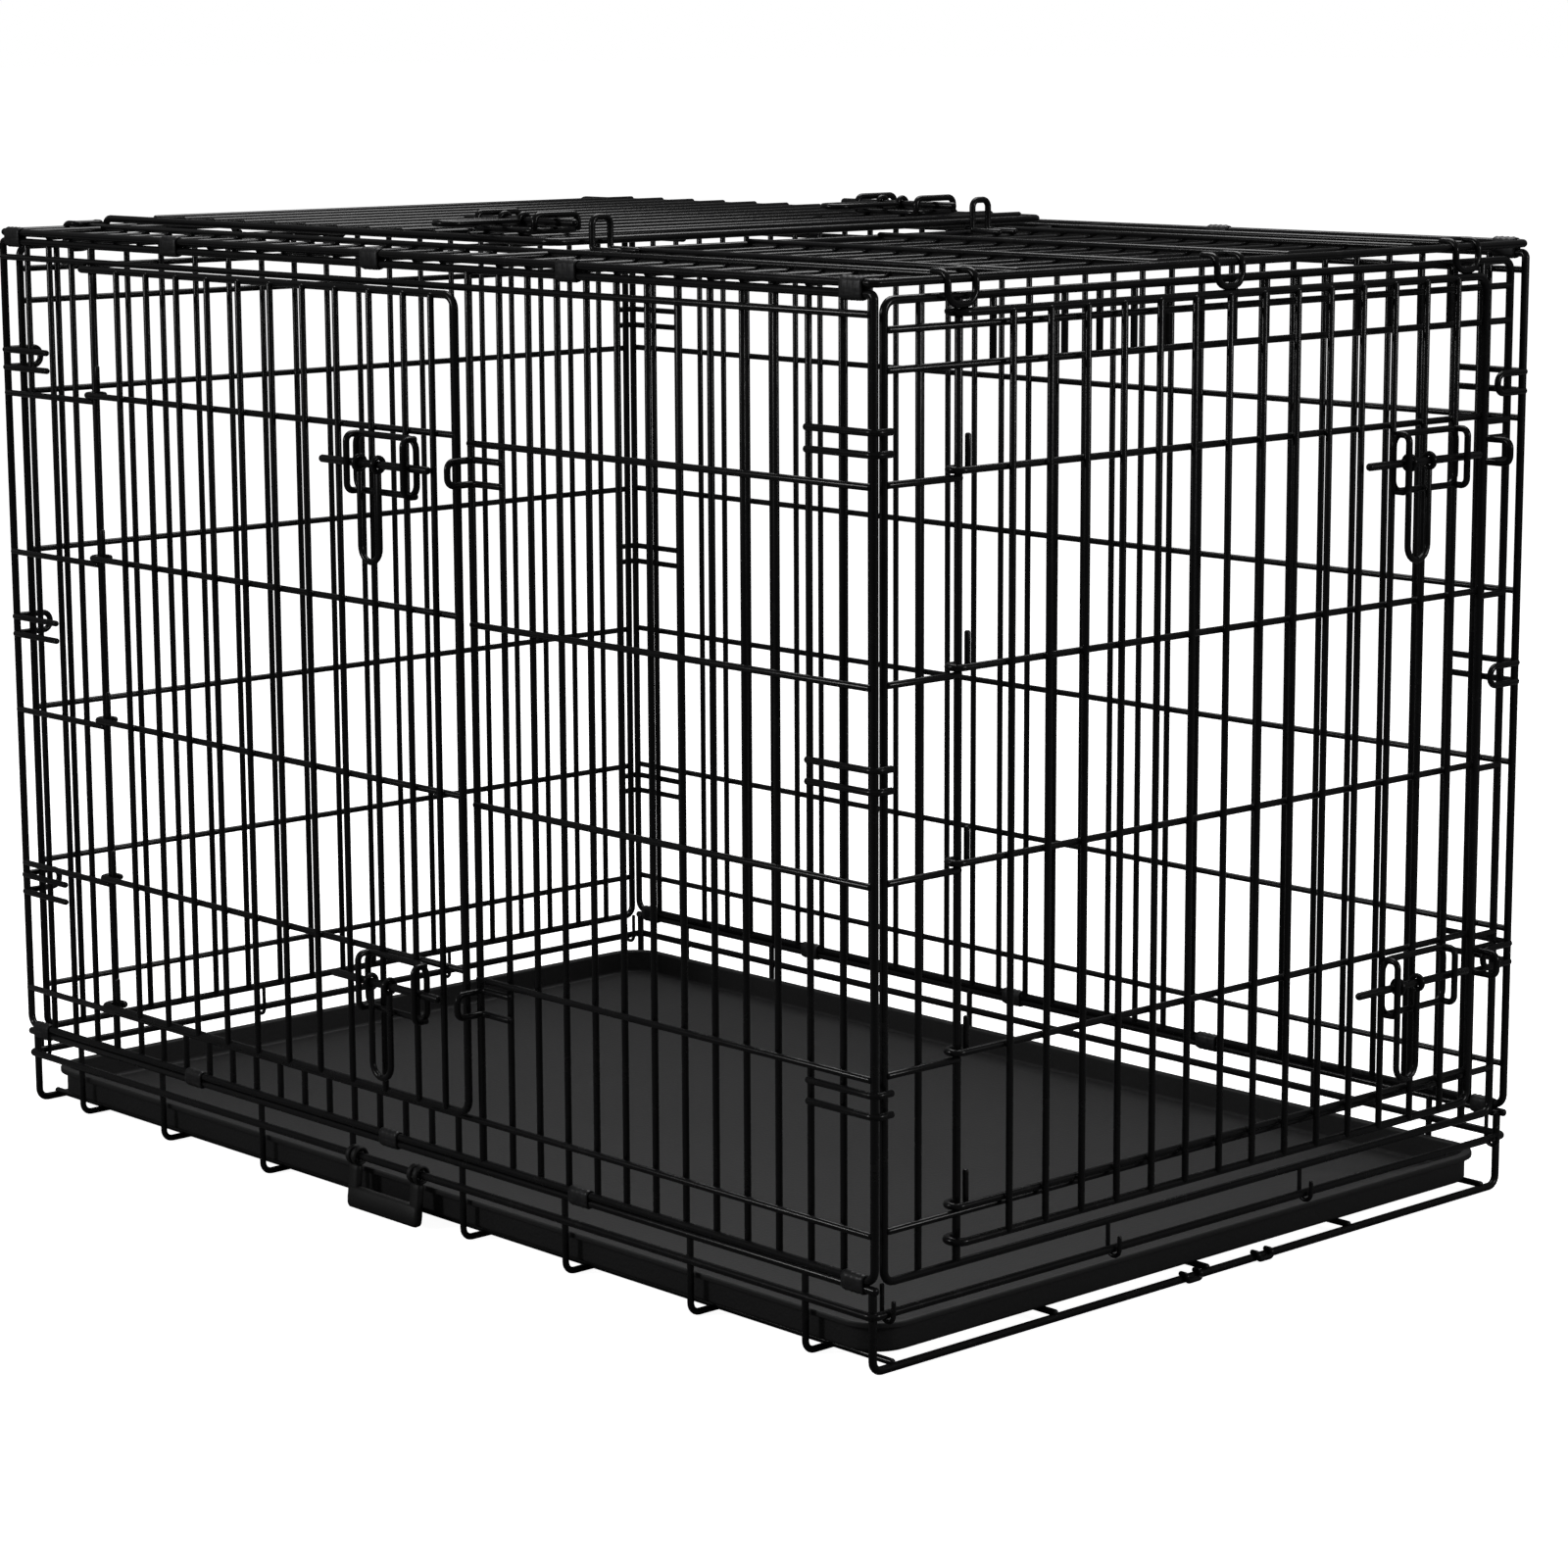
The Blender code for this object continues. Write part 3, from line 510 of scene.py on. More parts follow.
def side_panel(name, plane, doorway):
    work = Wirework(plane)
    frame_loop(work, CORNER_X, SIDE_BOTTOM_Z, SIDE_TOP_Z, (FRAME_BEND, FRAME_BEND, TIGHT_BEND, TIGHT_BEND))
    full, short = [], []
    for number in range(1, BAYS):
        u = wire_x(number)
        if doorway and number in (LATCH_POST, SIDE_HINGE_POST):
            work.line((u, SIDE_BOTTOM_Z, 0), (u, SIDE_TOP_Z, 0), POST_R)
        elif doorway and LATCH_POST < number < SIDE_HINGE_POST:
            work.line((u, SIDE_BOTTOM_Z, -LAYER), (u, SILL_Z + STUB_PAST, -LAYER))
            short.append(u)
        else:
            work.line((u, SIDE_BOTTOM_Z, -LAYER), (u, SIDE_TOP_Z, -LAYER))
            full.append(u)
    for height in (SILL_Z, HEADER_Z):
        work.line((-CORNER_X, height, LAYER), (CORNER_X, height, LAYER))
    left, right = wire_x(SIDE_HINGE_POST), wire_x(LATCH_POST)
    for height in CROSS_Z:
        if doorway:
            work.line((-CORNER_X, height, LAYER), (left + POST_PAST, height, LAYER))
            work.line((right - POST_PAST, height, LAYER), (CORNER_X, height, LAYER))
        else:
            work.line((-CORNER_X, height, LAYER), (CORNER_X, height, LAYER))
    crossing_beads(work, full, (SILL_Z, HEADER_Z) + CROSS_Z)
    if short:
        crossing_beads(work, short, (SILL_Z,))
    corner_hooks(work, 1, OPEN_REACH, False)
    corner_hooks(work, -1, LOOP_REACH, True)
    return work.finish(name, "root", "black_wire", BLACK_WIRE, name)


side_panel("front_side_panel", FRONT, True)
side_panel("rear_side_panel", REAR, False)

# %% [markdown]
# ## End panels
# An end panel stands between the side panels, so it is lower and narrower, with rounded
# corners. Thin J-shaped wires hang from its bottom rail and hook under the lip rail of the
# base. The panel folds down about that rail.

# %% End panels
FOOT_Y, FOOT_R, FOOT_REACH = (-0.338, -0.1076, 0.1076, 0.338), 0.0017, 0.0058
FOOT_TIP = 0.0105


def end_panel(name, body, plane, doorway):
    work = Wirework(plane)
    frame_loop(work, END_CORNER, END_BOTTOM_Z, END_TOP_Z, FRAME_BEND)
    full, short = [], []
    for number in range(1, END_BAYS):
        u = wire_y(number)
        if doorway and number in (END_HINGE_POST, END_LATCH_POST):
            work.line((u, END_BOTTOM_Z, 0), (u, END_TOP_Z, 0), POST_R)
        elif doorway and END_HINGE_POST < number < END_LATCH_POST:
            work.line((u, END_HEADER_Z - STUB_PAST, -LAYER), (u, END_TOP_Z, -LAYER))
            short.append(u)
        else:
            work.line((u, END_BOTTOM_Z, -LAYER), (u, END_TOP_Z, -LAYER))
            full.append(u)
    for height in (SILL_Z, END_HEADER_Z, END_BAND_Z):
        work.line((-END_CORNER, height, LAYER), (END_CORNER, height, LAYER))
    left, right = wire_y(END_HINGE_POST), wire_y(END_LATCH_POST)
    for height in CROSS_Z:
        if doorway:
            work.line((-END_CORNER, height, LAYER), (left + POST_PAST, height, LAYER))
            work.line((right - POST_PAST, height, LAYER), (END_CORNER, height, LAYER))
        else:
            work.line((-END_CORNER, height, LAYER), (END_CORNER, height, LAYER))
    crossing_beads(work, full, (SILL_Z, END_HEADER_Z, END_BAND_Z) + CROSS_Z)
    if short:
        crossing_beads(work, short, (END_HEADER_Z, END_BAND_Z))
    rail = LIP_RAIL_X - END_X
    inner, outer, low = rail - FOOT_REACH, rail + FOOT_REACH, LIP_RAIL_Z - FOOT_REACH
    for u in FOOT_Y:
        work.bend([(u, END_BOTTOM_Z, inner), (u, low, inner), (u, low, outer),
                   (u, LIP_RAIL_Z + FOOT_TIP, outer)], FOOT_REACH - 0.0002, FOOT_R)
    return work.finish(name, body, "black_wire", BLACK_WIRE, name)


end_panel("right_end_panel", "right_end", RIGHT, True)
end_panel("left_end_panel", "left_end", LEFT, False)

# %% [markdown]
# ## Top panel
# The top lies over the side panels. Its long hooks reach down outside both end panels and
# stop them from falling outwards. Each hook is one wire: two legs and a crossbar inside, a
# round turn over the end, and a round bottom.

# %% Top panel
TOP_HOOK_Y, TOP_HOOK_HALF, TOP_HOOK_X, TOP_HOOK_DOWN = (-0.2727, 0.0, 0.2727), 0.0135, 0.5352, 0.0187
TOP_HOOK_IN, TOP_HOOK_W, TOP_HOOK_TIP = 0.012, 0.0048, 0.0015
TOP_HOOK_BENDS = (0.004, 0.007, 0.010, 0.010, 0.007, 0.004)
CRATE_WIDTH, TOP_BAYS, TOP_BEND = 0.711, 5, 0.0050


def top_panel():
    work = Wirework(TOP)
    frame_loop(work, CORNER_X, -SIDE_Y, SIDE_Y, TOP_BEND)
    left, right = wire_x(TOP_HINGE_POST), wire_x(LATCH_POST)
    middles = [(number / TOP_BAYS - 0.5) * CRATE_WIDTH for number in range(1, TOP_BAYS)]
    full, short = [], []
    for number in range(1, BAYS):
        u = wire_x(number)
        if number in (LATCH_POST, TOP_HINGE_POST):
            work.line((u, -SIDE_Y, 0), (u, SIDE_Y, 0), POST_R)
        elif LATCH_POST < number < TOP_HINGE_POST:
            work.line((u, -SIDE_Y, -LAYER), (u, -TOP_DOORWAY_Y + STUB_PAST, -LAYER))
            work.line((u, TOP_DOORWAY_Y - STUB_PAST, -LAYER), (u, SIDE_Y, -LAYER))
            short.append(u)
        else:
            work.line((u, -SIDE_Y, -LAYER), (u, SIDE_Y, -LAYER))
            full.append(u)
    edges = (-TOP_DOORWAY_Y, TOP_DOORWAY_Y)
    for v in edges:
        work.line((-CORNER_X, v, LAYER), (CORNER_X, v, LAYER))
    for v in middles:
        work.line((right - POST_PAST, v, LAYER), (CORNER_X, v, LAYER))
        work.line((-CORNER_X, v, LAYER), (left + POST_PAST, v, LAYER))
    crossing_beads(work, full, list(edges) + middles)
    crossing_beads(work, short, edges)
    tip = -TOP_HOOK_DOWN + TOP_HOOK_TIP
    for end in (-1, 1):
        inside, out = end * (CORNER_X - TOP_HOOK_IN), end * TOP_HOOK_X
        for middle in TOP_HOOK_Y:
            low, high = middle - TOP_HOOK_HALF, middle + TOP_HOOK_HALF
            outline = [(inside, low, TOP_HOOK_W), (out, low, TOP_HOOK_W), (out, low, tip),
                       (out, high, tip), (out, high, TOP_HOOK_W), (inside, high, TOP_HOOK_W)]
            work.add(hoop(bent(outline, TOP_HOOK_BENDS, closed=True), WIRE_R))
    return work.finish("top_panel", "root", "black_wire", BLACK_WIRE, "top_panel")


top_panel()

# %% [markdown]
# ## Doors
# A door is one thick wire bent round three sides, whose ends curl round the hinge post.
# Thinner rails curl round the post too, and the uprights lie on the outside of them. The
# short rods beside the post close the curls, so the door can't be lifted out.

# %% Doors
DOOR_CORNER, CURL_TIP, PIN_LONG, PIN_R, PIN_W = 0.011, 0.0045, 0.025, 0.0022, 0.0024
CURL_BEND, CURL_TURN, BAR_PAST = 0.0066, 0.0078, 0.001
FIRST_BAR, SECOND_BAR, BAR_PITCH, END_BAR_PITCH = 0.0254, 0.0588, 0.0423, 0.0373


def door(name, plane, hinge, edge, rails, low, high, uprights, pins):
    work = Wirework(plane)
    back = hinge - DOOR_IN
    work.bend([(hinge + CURL_TIP, low, -DOOR_IN), (back, low, -DOOR_IN), (back, low, DOOR_MID),
               (edge, low, DOOR_MID), (edge, high, DOOR_MID), (back, high, DOOR_MID),
               (back, high, -DOOR_IN), (hinge + CURL_TIP, high, -DOOR_IN)],
              (CURL_BEND, CURL_TURN, DOOR_CORNER, DOOR_CORNER, CURL_TURN, CURL_BEND), RAIL_R)
    for v in rails:
        work.bend([(edge, v, DOOR_IN), (back, v, DOOR_IN), (back, v, -DOOR_IN),
                   (hinge + CURL_TIP, v, -DOOR_IN)], CURL_BEND)
    for u in uprights:
        work.line((u, low - BAR_PAST, DOOR_OUT), (u, high + BAR_PAST, DOOR_OUT))
    crossings = [(u, v, DOOR_MID) for u in uprights for v in (*rails, low, high)]
    work.add(beads(crossings, BEAD))
    for start, run in pins:
        work.line((hinge + DOOR_IN, start, PIN_W), (hinge + DOOR_IN, start + run, PIN_W), PIN_R)
    return work.finish(name, name, "black_wire", BLACK_WIRE, name)


RAILS_Z = [height + DOOR_LIFT for height in CROSS_Z]
SIDE_LOW, SIDE_HIGH, END_LOW, END_HIGH = SILL_Z + DOOR_LIFT, HEADER_Z - DOOR_LIFT, 0.083, 0.735
side_bars, top_bars = (
    np.concatenate([[SIDE_EDGE - FIRST_BAR], SIDE_EDGE - SECOND_BAR - BAR_PITCH * np.arange(count)])
    for count in (10, 12))
end_bars = END_EDGE - END_BAR_PITCH * np.arange(1, 15)
side_pins = [(SIDE_LOW, PIN_LONG), (SIDE_HIGH, -PIN_LONG)] + [(v, PIN_LONG) for v in RAILS_Z]
end_rails = [SILL_Z + DOOR_LIFT] + RAILS_Z
top_rails = [-TOP_DOOR_Y / 2, 0.0, TOP_DOOR_Y / 2]
door("side_door", FRONT, wire_x(SIDE_HINGE_POST), SIDE_EDGE, RAILS_Z, SIDE_LOW, SIDE_HIGH,
     side_bars, side_pins)
door("end_door", RIGHT, wire_y(END_HINGE_POST), END_EDGE, end_rails, END_LOW, END_HIGH,
     end_bars, [(v, PIN_LONG) for v in end_rails])
door("top_door", TOP, wire_x(TOP_HINGE_POST), SIDE_EDGE, top_rails, -TOP_DOOR_Y, TOP_DOOR_Y,
     top_bars, [(v, PIN_LONG) for v in top_rails])

# %% [markdown]
# ## Slide bolts
# Each door has two. A rod slides under two staples welded to a wire ring on the door, a
# hairpin handle hangs from the rod, and the tip enters a bow beside the doorway. Drawing
# them once in their own axes places all six.

# %% Bolts, handles, guides and keepers
ROD_R, ROD_TIP, ROD_END, ROD_W, RING_W = 0.0031, -0.018, -0.153, 0.0214, 0.0153
GUIDE_MID, GUIDE_HALF, GUIDE_RISE, STAPLES = -0.0785, 0.0372, 0.0216, (-0.042, -0.112)
HANDLE_MID, HANDLE_HALF, HANDLE_LONG, HANDLE_R = -0.0923, 0.0117, 0.075, 0.0025
EYE_RADIUS, EYE_R, STAPLE_W = 0.0053, 0.0021, 0.0274
KEEPER_HALF, KEEPER_PAST, KEEPER_W = 0.0090, 0.0055, 0.0273


def circle(centre, radius, steps=20):
    """A ring round the rod: (u, v, w) = centre + radius (0, cos a, sin a)."""
    angle = np.arange(steps) * 2 * math.pi / steps
    return np.asarray(centre) + radius * np.stack([0 * angle, np.cos(angle), np.sin(angle)], -1)


def guide(prefix, body, here):
    work = Wirework(here)
    left, right = GUIDE_MID - GUIDE_HALF, GUIDE_MID + GUIDE_HALF
    work.add(hoop(bent([(left, -GUIDE_RISE, RING_W), (right, -GUIDE_RISE, RING_W),
                        (right, GUIDE_RISE, RING_W), (left, GUIDE_RISE, RING_W)], 0.009,
                       closed=True), 0.0026))
    for u in STAPLES:
        work.bend([(u, -GUIDE_RISE, RING_W - 0.001), (u, -GUIDE_RISE, STAPLE_W),
                   (u, GUIDE_RISE, STAPLE_W), (u, GUIDE_RISE, RING_W - 0.001)], 0.0055)
    name = prefix + "_guide"
    return work.finish(name, body, "black_wire", BLACK_WIRE, name)


def bolt(prefix, here):
    work = Wirework(here)
    work.line((ROD_END, 0, ROD_W), (ROD_TIP, 0, ROD_W), ROD_R)
    name = prefix + "_bolt"
    return work.finish(name, name, "black_wire", BLACK_WIRE, name)


def handle(prefix, here):
    work = Wirework(here)
    left, right = HANDLE_MID - HANDLE_HALF, HANDLE_MID + HANDLE_HALF
    top = -EYE_RADIUS + 0.0005
    work.bend([(left, top, ROD_W), (left, -HANDLE_LONG, ROD_W), (right, -HANDLE_LONG, ROD_W),
               (right, top, ROD_W)], HANDLE_HALF - 0.0001, HANDLE_R)
    for u in (left, right):
        work.add(hoop(circle((u, 0, ROD_W), EYE_RADIUS), EYE_R))
    name = prefix + "_handle"
    return work.finish(name, name, "black_wire", BLACK_WIRE, name)


def keeper(prefix, body, plane, post, far, height):
    work = Wirework(plane)
    bow, low, high = post + POST_R + WIRE_R, height - KEEPER_HALF, height + KEEPER_HALF
    work.bend([(far, low, LAYER), (bow, low, LAYER), (bow, low, KEEPER_W), (bow, high, KEEPER_W),
               (bow, high, LAYER), (far, high, LAYER)], (0.004, 0.006, 0.006, 0.004))
    name = prefix + "_keeper"
    return work.finish(name, body, "black_wire", BLACK_WIRE, name)


LATCHES = []
for label, height in (("side_upper", 0.601), ("side_lower", 0.197)):
    LATCHES.append((label, FRONT, SIDE_EDGE, height, "side_door", "root"))
for label, height in (("end_upper", 0.600), ("end_lower", 0.195)):
    LATCHES.append((label, RIGHT, END_EDGE, height, "end_door", "right_end"))
for label, height in (("top_front", -0.2265), ("top_rear", 0.181)):
    LATCHES.append((label, TOP, SIDE_EDGE, height, "top_door", "root"))
side_far = wire_x(LATCH_POST - 1) + KEEPER_PAST
end_far = wire_y(END_LATCH_POST + 1) - RAIL_R - 0.0003
for prefix, plane, edge, height, door_body, post_body in LATCHES:
    here = plane.moved(edge, height)
    guide(prefix, door_body, here)
    bolt(prefix, here)
    handle(prefix, here)
    far = end_far if plane is RIGHT else side_far
    keeper(prefix, post_body, plane, edge + EDGE_SHORT, far, height)

# %% [markdown]
# ## Clips
# Sheet-metal bands wrap the rails of the base and the top together with the frames of the
# side panels: these are the hinges of the folding crate. Pressing them round the wires
# leaves slanted crimps. The band is a loop: its section, 22 mm by 1.2 mm, goes round both
# wires, and its outer side carries the crimps.

# %% Clip surface
CLIP_AROUND, CLIP_ACROSS, CLIP_LONG, CLIP_WALL = 20, 13, 0.022, 0.0012


def band(x, low, high):
    """Section point s goes round both wires with the angle q: at angle q it stands
    R(s) + 0.35 mm cos(2 pi (s / 5.5 mm + q / 2.2)) from the axis of the nearer wire."""
    angle = (np.arange(CLIP_AROUND) + 0.5) * 2 * math.pi / CLIP_AROUND
    run = np.linspace(-0.5, 0.5, CLIP_ACROSS)
    crimp = 0.00035 * np.cos(2 * math.pi * (run * CLIP_LONG / 0.0055 + angle[:, None] / 2.2))
    fade = np.clip((0.5 - np.abs(run)) / 0.12, 0, 1) ** 0.5
    outer = RAIL_R + 0.0003 + CLIP_WALL * (0.55 + 0.45 * fade) + crimp * fade
    inner = np.full((CLIP_AROUND, 2), RAIL_R + 0.0002)
    reach = np.concatenate([outer, inner], 1)
    along = x + CLIP_LONG * np.broadcast_to(np.concatenate([run, [0.5, -0.5]]), reach.shape)
    centre = np.where(np.sin(angle) > 0, high, low)[:, None]
    rings = np.stack([along, centre + reach * np.sin(angle)[:, None], reach * np.cos(angle)[:, None]], -1)
    return skin(rings)


# %% [markdown]
# ## Clip steel
# The bands are blackened sheet steel: mottled, a little metallic, and rubbed paler in
# streaks along their length.

# %% Clip steel


def clip_steel():
    finish = Finish("clip_steel_blackened")
    place = finish.where()
    mottle = finish.noise(place, 160.0, 5.0, 0.65)
    rubbed = finish.ramp(finish.noise(finish.where((1, 6, 6)), 90.0, 4.0), 0.50, 0.75)
    colour = finish.mix(mottle, (0.020, 0.020, 0.021, 1), (0.060, 0.060, 0.062, 1))
    colour = finish.mix(rubbed * 0.5, colour, (0.11, 0.11, 0.11, 1))
    normal = finish.bump(mottle, 0.35, 0.0003)
    return finish.shader(Base_Color=colour, Metallic=0.55 + mottle * 0.2,
                         Roughness=0.34 + mottle * 0.22, Normal=normal)


# %% [markdown]
# ## Placing the clips
# Five clips stand along each of the four rails, in the middle of a bay or near a corner.

# %% All twenty clips
CLIP_STEEL = clip_steel()
CLIP_PLACES = [0.5116] + [float(wire_x(bay + 0.5)) for bay in (9, 16, 24)] + [-0.5116]
SIDE_WALL = {"front": FRONT, "rear": Plane(MID + SIDE_Y * Y, X, Z)}
for side, plane in SIDE_WALL.items():
    for level, low, high in (("bottom", HINGE_RAIL_Z, SIDE_BOTTOM_Z), ("top", SIDE_TOP_Z, TOP_Z)):
        for number, x in enumerate(CLIP_PLACES, start=1):
            work = Wirework(plane)
            work.add(band(x, low, high))
            name = f"{side}_{level}_clip_{number}"
            work.finish(name, "root", "clip_steel", CLIP_STEEL, name)

# %% [markdown]
# ## Pan
# A thin vacuum-formed tray: its wall stands inside the lip rail and its edge turns out to a
# rim. One profile from the underside, out over the rim and back in to the floor, is carried
# round a rectangle with round corners. Two poles close it above and below.

# %% Pan
PAN_X, PAN_Y, PAN_LOW, PAN_RIM, PAN_TOP = 0.524, 0.3435, 0.0094, 0.0285, 0.0330
PAN_STEP, PAN_WALL, PAN_CORNER, PAN_FLOOR = 0.0055, 0.0026, 0.034, 0.0120
PAN_MIDDLE, PAN_LEDGE, PAN_RAISED, TURN_POINTS = 0.20, 0.030, PAN_FLOOR + 0.0012, 11
PAN_BENDS = (0.0030, 0.0010, 0.0009, 0.0014, 0.0012, 0.0030, 0.0005, 0.0005)


def tray():
    """Point (d, a): d and z come from the profile, d inwards from the rim's edge, and a goes
    round a rectangle whose corners have the radius max(34 mm - d, 4 mm)."""
    inside = PAN_STEP + PAN_WALL
    profile = bent([(PAN_MIDDLE, 0, PAN_LOW), (PAN_STEP, 0, PAN_LOW), (PAN_STEP, 0, PAN_RIM),
                    (0, 0, PAN_RIM), (0, 0, PAN_TOP), (inside, 0, PAN_TOP), (inside, 0, PAN_FLOOR),
                    (PAN_LEDGE, 0, PAN_FLOOR), (PAN_LEDGE, 0, PAN_RAISED), (PAN_MIDDLE, 0, PAN_RAISED)],
                   PAN_BENDS)
    inwards, height = profile[:, 0], profile[:, 2]
    corner = np.maximum(PAN_CORNER - inwards, 0.004)
    turn = np.linspace(0, math.pi / 2, TURN_POINTS)
    angle = (turn + np.arange(4)[:, None] * math.pi / 2).ravel()
    side_x, side_y = (np.repeat(signs, TURN_POINTS) for signs in ([1, -1, -1, 1], [1, 1, -1, -1]))
    x = (PAN_X - inwards - corner)[:, None] * side_x + corner[:, None] * np.cos(angle)
    y = (PAN_Y - inwards - corner)[:, None] * side_y + corner[:, None] * np.sin(angle)
    rings = np.stack([x, y, np.broadcast_to(height[:, None], x.shape)], -1)
    return skin(rings, poles=np.array([[0, 0, PAN_LOW], [0, 0, PAN_RAISED]]))


def moulded_plastic(name, dark, light, grain):
    finish = Finish(name)
    place = finish.where()
    cloud = finish.noise(place, 6.0, 4.0)
    pebble = finish.node("ShaderNodeTexVoronoi", {"feature": "SMOOTH_F1"},
                         {"Vector": place, "Scale": grain, "Smoothness": 0.7})
    scuff = finish.ramp(finish.noise(finish.where((1, 9, 3)), 24.0, 5.0, 0.7), 0.60, 0.80)
    colour = finish.mix(cloud, dark, light)
    colour = finish.mix(scuff * 0.25, colour, (0.055, 0.055, 0.055, 1))
    rough = 0.50 + cloud * 0.12 + scuff * 0.10
    normal = finish.bump(pebble, 0.30, 0.0005)
    return finish.shader(Base_Color=colour, Roughness=rough, Normal=normal)


PAN_PLASTIC = moulded_plastic("pan_plastic", (0.012, 0.012, 0.0125, 1), (0.018, 0.018, 0.0185, 1), 420.0)
pan = Wirework(FLAT)
pan.add(tray())
pan.finish("pan", "pan", "black_plastic", PAN_PLASTIC, "pan")

# %% [markdown]
# ## Carry handle
# A moulded U whose four hooks snap over the lip rail, so it can swing. It is drawn in a
# plane tilted the way it hangs: arms and grip are swept rounded rectangles, and each hook is
# a flattened ring round the rail.

# %% Carry handle
CARRY_X, CARRY_ARM, CARRY_TILT = -0.0205, 0.0395, math.radians(6)
ARM_V, ARM_R, ARM_FLAT, ARM_BLUNT = (-0.0066, -0.0120, -0.0220, -0.0350), 0.006, (1.0, 0.58), 0.4
HOOK_SHIFT, HOOK_RING, HOOK_SECTION = 0.0036, 0.0064, (0.0016, 0.0026)
GRIP_U, GRIP_V, GRIP_R = (-0.0455, -0.025, 0.025, 0.0455), -0.0335, 0.009
GRIP_FLAT, GRIP_BLUNT, BOXY = (1.0, 0.5), 0.5, 0.55
CARRY_PLANE = Plane(MID + (CARRY_X, -LIP_RAIL_Y, LIP_RAIL_Z), X,
                    (0, math.sin(CARRY_TILT), math.cos(CARRY_TILT)))
HANDLE_PLASTIC = moulded_plastic("handle_plastic", (0.0060, 0.0060, 0.0062, 1),
                                 (0.0100, 0.0100, 0.0102, 1), 900.0)
carry = Wirework(CARRY_PLANE)
for side in (-1, 1):
    arm = [(side * CARRY_ARM, v, 0) for v in ARM_V]
    carry.add(wire(arm, ARM_R, ARM_BLUNT, ARM_FLAT, Z, BOXY))
    for shift in (-HOOK_SHIFT, HOOK_SHIFT):
        ring = circle((side * CARRY_ARM + shift, 0, 0), HOOK_RING)
        carry.add(hoop(ring, 1.0, HOOK_SECTION, X))
grip = [(u, GRIP_V, 0) for u in GRIP_U]
carry.add(wire(grip, GRIP_R, GRIP_BLUNT, GRIP_FLAT, Z, BOXY))
carry.finish("carry_handle", "carry_handle", "black_plastic", HANDLE_PLASTIC, "carry_handle")

# %% [markdown]
# ## Floor, light and camera
# The crate stands on a plain pale floor that reaches the horizon. Large soft lights stand
# over it and beside it, so thin wires get a thin, soft highlight and stay dark elsewhere.
# The floor looks bright to the camera but sends less light back into the black coating.

# %% Stage
FLOOR_HALF = 90
floor_mesh = bpy.data.meshes.new("floor")
floor_mesh.from_pydata([(a * FLOOR_HALF, b * FLOOR_HALF, 0) for a, b in ((-1, -1), (1, -1), (1, 1), (-1, 1))],
                       [], [(0, 1, 2, 3)])
floor = bpy.data.objects.new("floor", floor_mesh)
bpy.context.scene.collection.objects.link(floor)

pale = Finish("pale_floor")
seen = pale.node("ShaderNodeLightPath")
grain = pale.noise(pale.where(), 3.0)
paint = pale.mix(grain, (0.86, 0.86, 0.86, 1), (0.88, 0.88, 0.88, 1))
bright = pale.node("ShaderNodeBsdfDiffuse", None, {"Color": paint})
glow = pale.node("ShaderNodeEmission", None, {"Color": (1, 1, 1, 1), "Strength": 0.95})
both = pale.node("ShaderNodeAddShader", None, {0: bright, 1: glow})
dim = pale.node("ShaderNodeBsdfDiffuse", None, {"Color": (0.14, 0.14, 0.14, 1)})
surface = pale.node("ShaderNodeMixShader", None, {0: seen, 1: dim, 2: both})
pale.node("ShaderNodeOutputMaterial", None, {"Surface": surface})
floor_mesh.materials.append(pale.made)

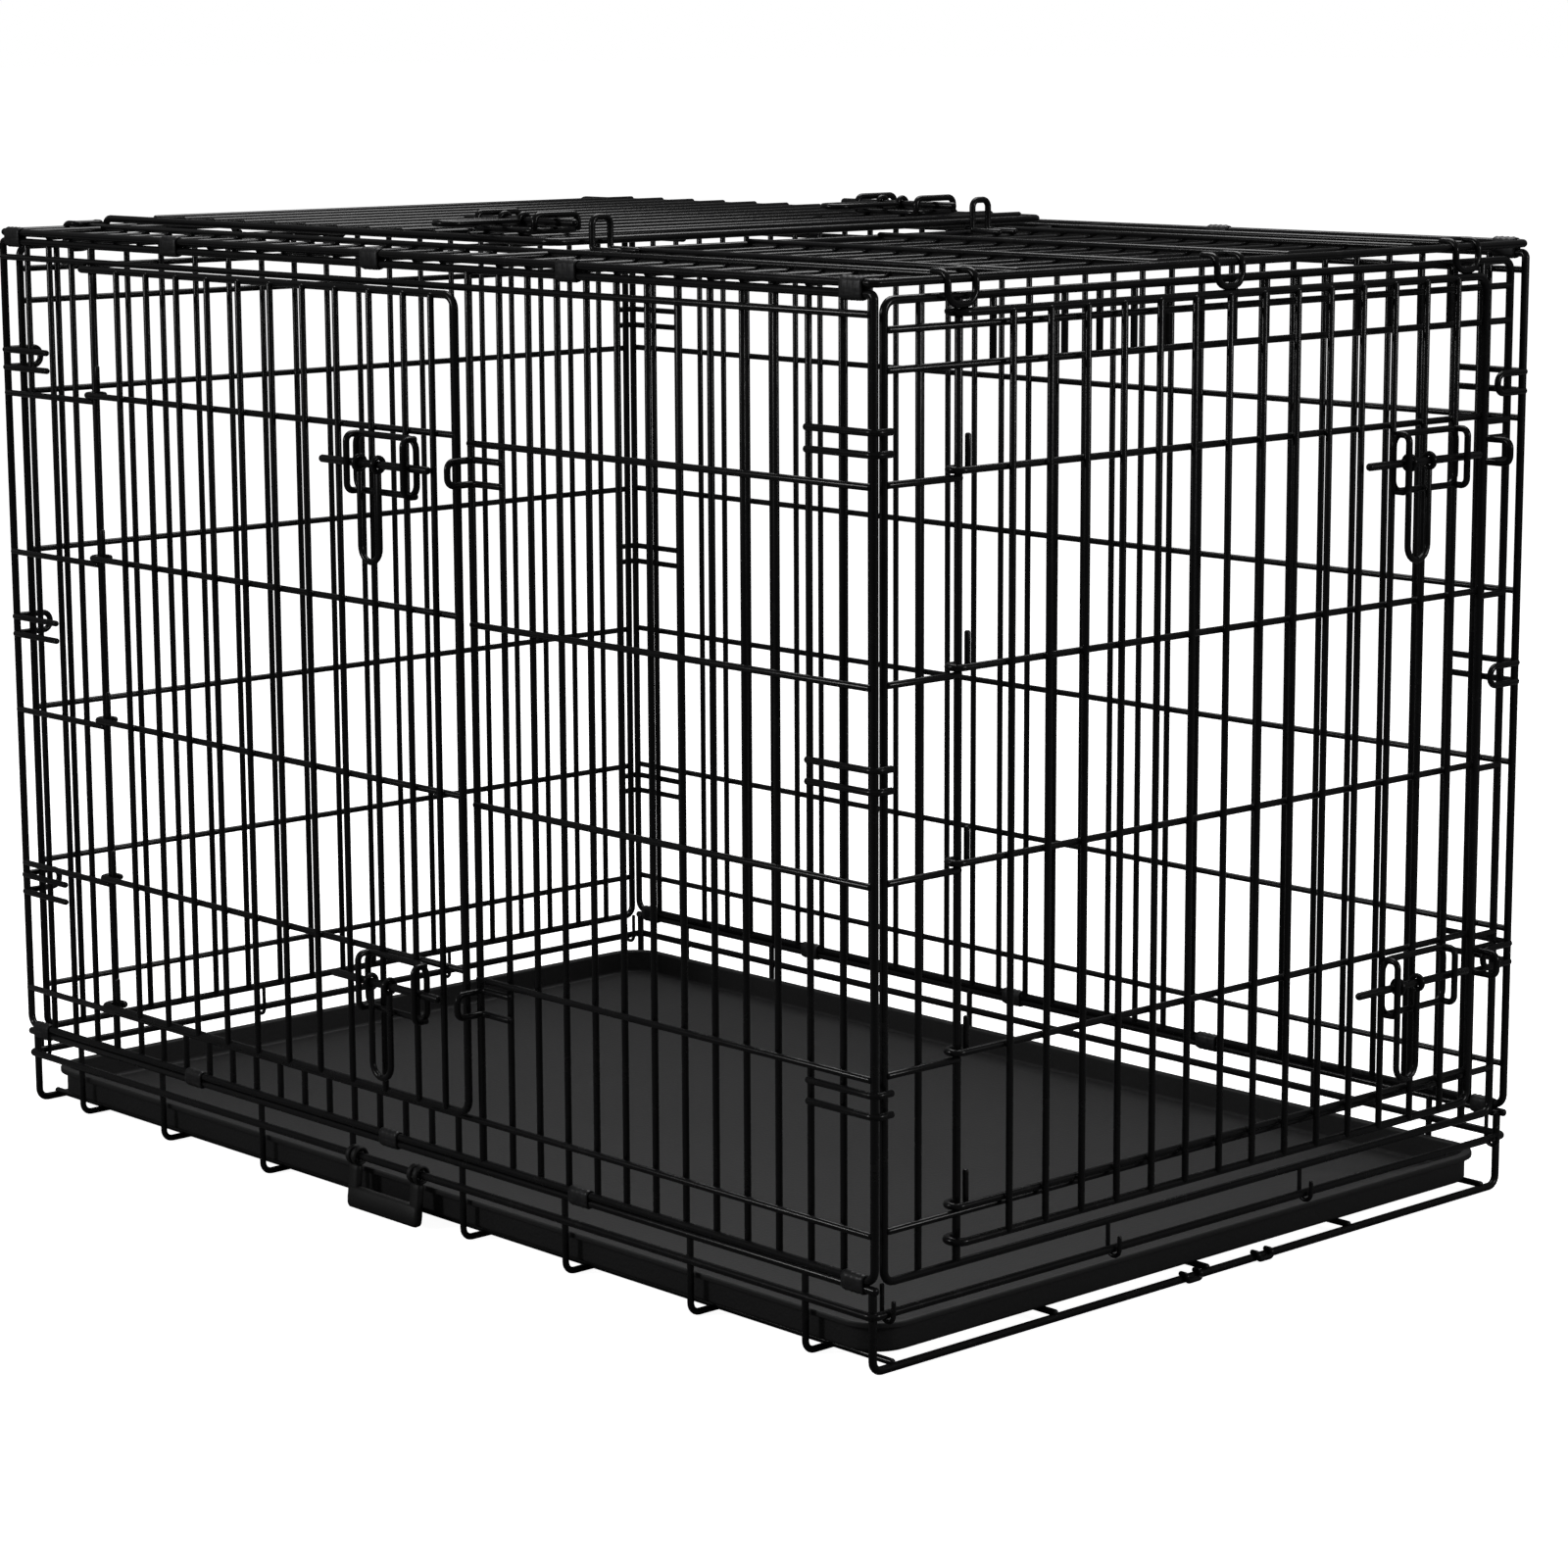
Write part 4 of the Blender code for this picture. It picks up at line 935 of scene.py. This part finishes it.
world = bpy.data.worlds.new("studio")
world.use_nodes = True
background = world.node_tree.nodes["Background"]
background.inputs["Color"].default_value = (1, 1, 1, 1)
path = world.node_tree.nodes.new("ShaderNodeLightPath")
level = world.node_tree.nodes.new("ShaderNodeMapRange")
level.inputs["To Min"].default_value, level.inputs["To Max"].default_value = 0.10, 1.0
world.node_tree.links.new(path.outputs["Is Camera Ray"], level.inputs["Value"])
world.node_tree.links.new(level.outputs["Result"], background.inputs["Strength"])
bpy.context.scene.world = world


LIGHT_AIM = np.array([0, 0, 0.4])


def soft_light(name, place, size, power):
    """An area light that faces the middle of the crate."""
    lamp = bpy.data.lights.new(name, "AREA")
    lamp.size, lamp.energy = size, power
    made = bpy.data.objects.new(name, lamp)
    bpy.context.scene.collection.objects.link(made)
    back = unit(np.array(place, float) - LIGHT_AIM)
    side = unit(np.cross((0.01, 0.02, 1.0), back))
    turn = np.stack([side, np.cross(back, side), back, np.array(place, float)], 1)
    made.matrix_world = Matrix(np.vstack([turn, [0, 0, 0, 1]]).tolist())


soft_light("overhead", (-0.6, 0.9, 3.4), 2.4, 85)
soft_light("left_front", (-1.2, -3.6, 1.7), 0.5, 26)
soft_light("right", (3.8, 1.2, 1.5), 0.5, 20)

# %% [markdown]
# ## Camera
# A long lens far from the crate keeps the uprights nearly parallel. The roll is a fraction
# of a degree.

# %% Camera
AZIMUTH, ELEVATION, ROLL = (math.radians(angle) for angle in (47.278, 10.265, -0.263))
CAMERA_FROM_MID, SENSOR_MM, LENS_MM = (2.534, -2.2841, 0.9248), 36.0, 95.92
back = np.array([math.sin(AZIMUTH) * math.cos(ELEVATION), -math.cos(AZIMUTH) * math.cos(ELEVATION),
                 math.sin(ELEVATION)])
side = unit(np.cross(-back, Z))
rise = np.cross(side, -back)
cos, sin = math.cos(ROLL), math.sin(ROLL)
place = MID + CAMERA_FROM_MID
turn = np.stack([cos * side + sin * rise, cos * rise - sin * side, back, place], 1)
lens = bpy.data.cameras.new("camera")
lens.sensor_width, lens.lens = SENSOR_MM, LENS_MM
camera = bpy.data.objects.new("camera", lens)
bpy.context.scene.collection.objects.link(camera)
camera.matrix_world = Matrix(np.vstack([turn, [0, 0, 0, 1]]).tolist())
bpy.context.scene.camera = camera
bpy.context.scene.view_settings.view_transform = "Standard"
print("pieces", len(MADE), "faces", sum(MADE))
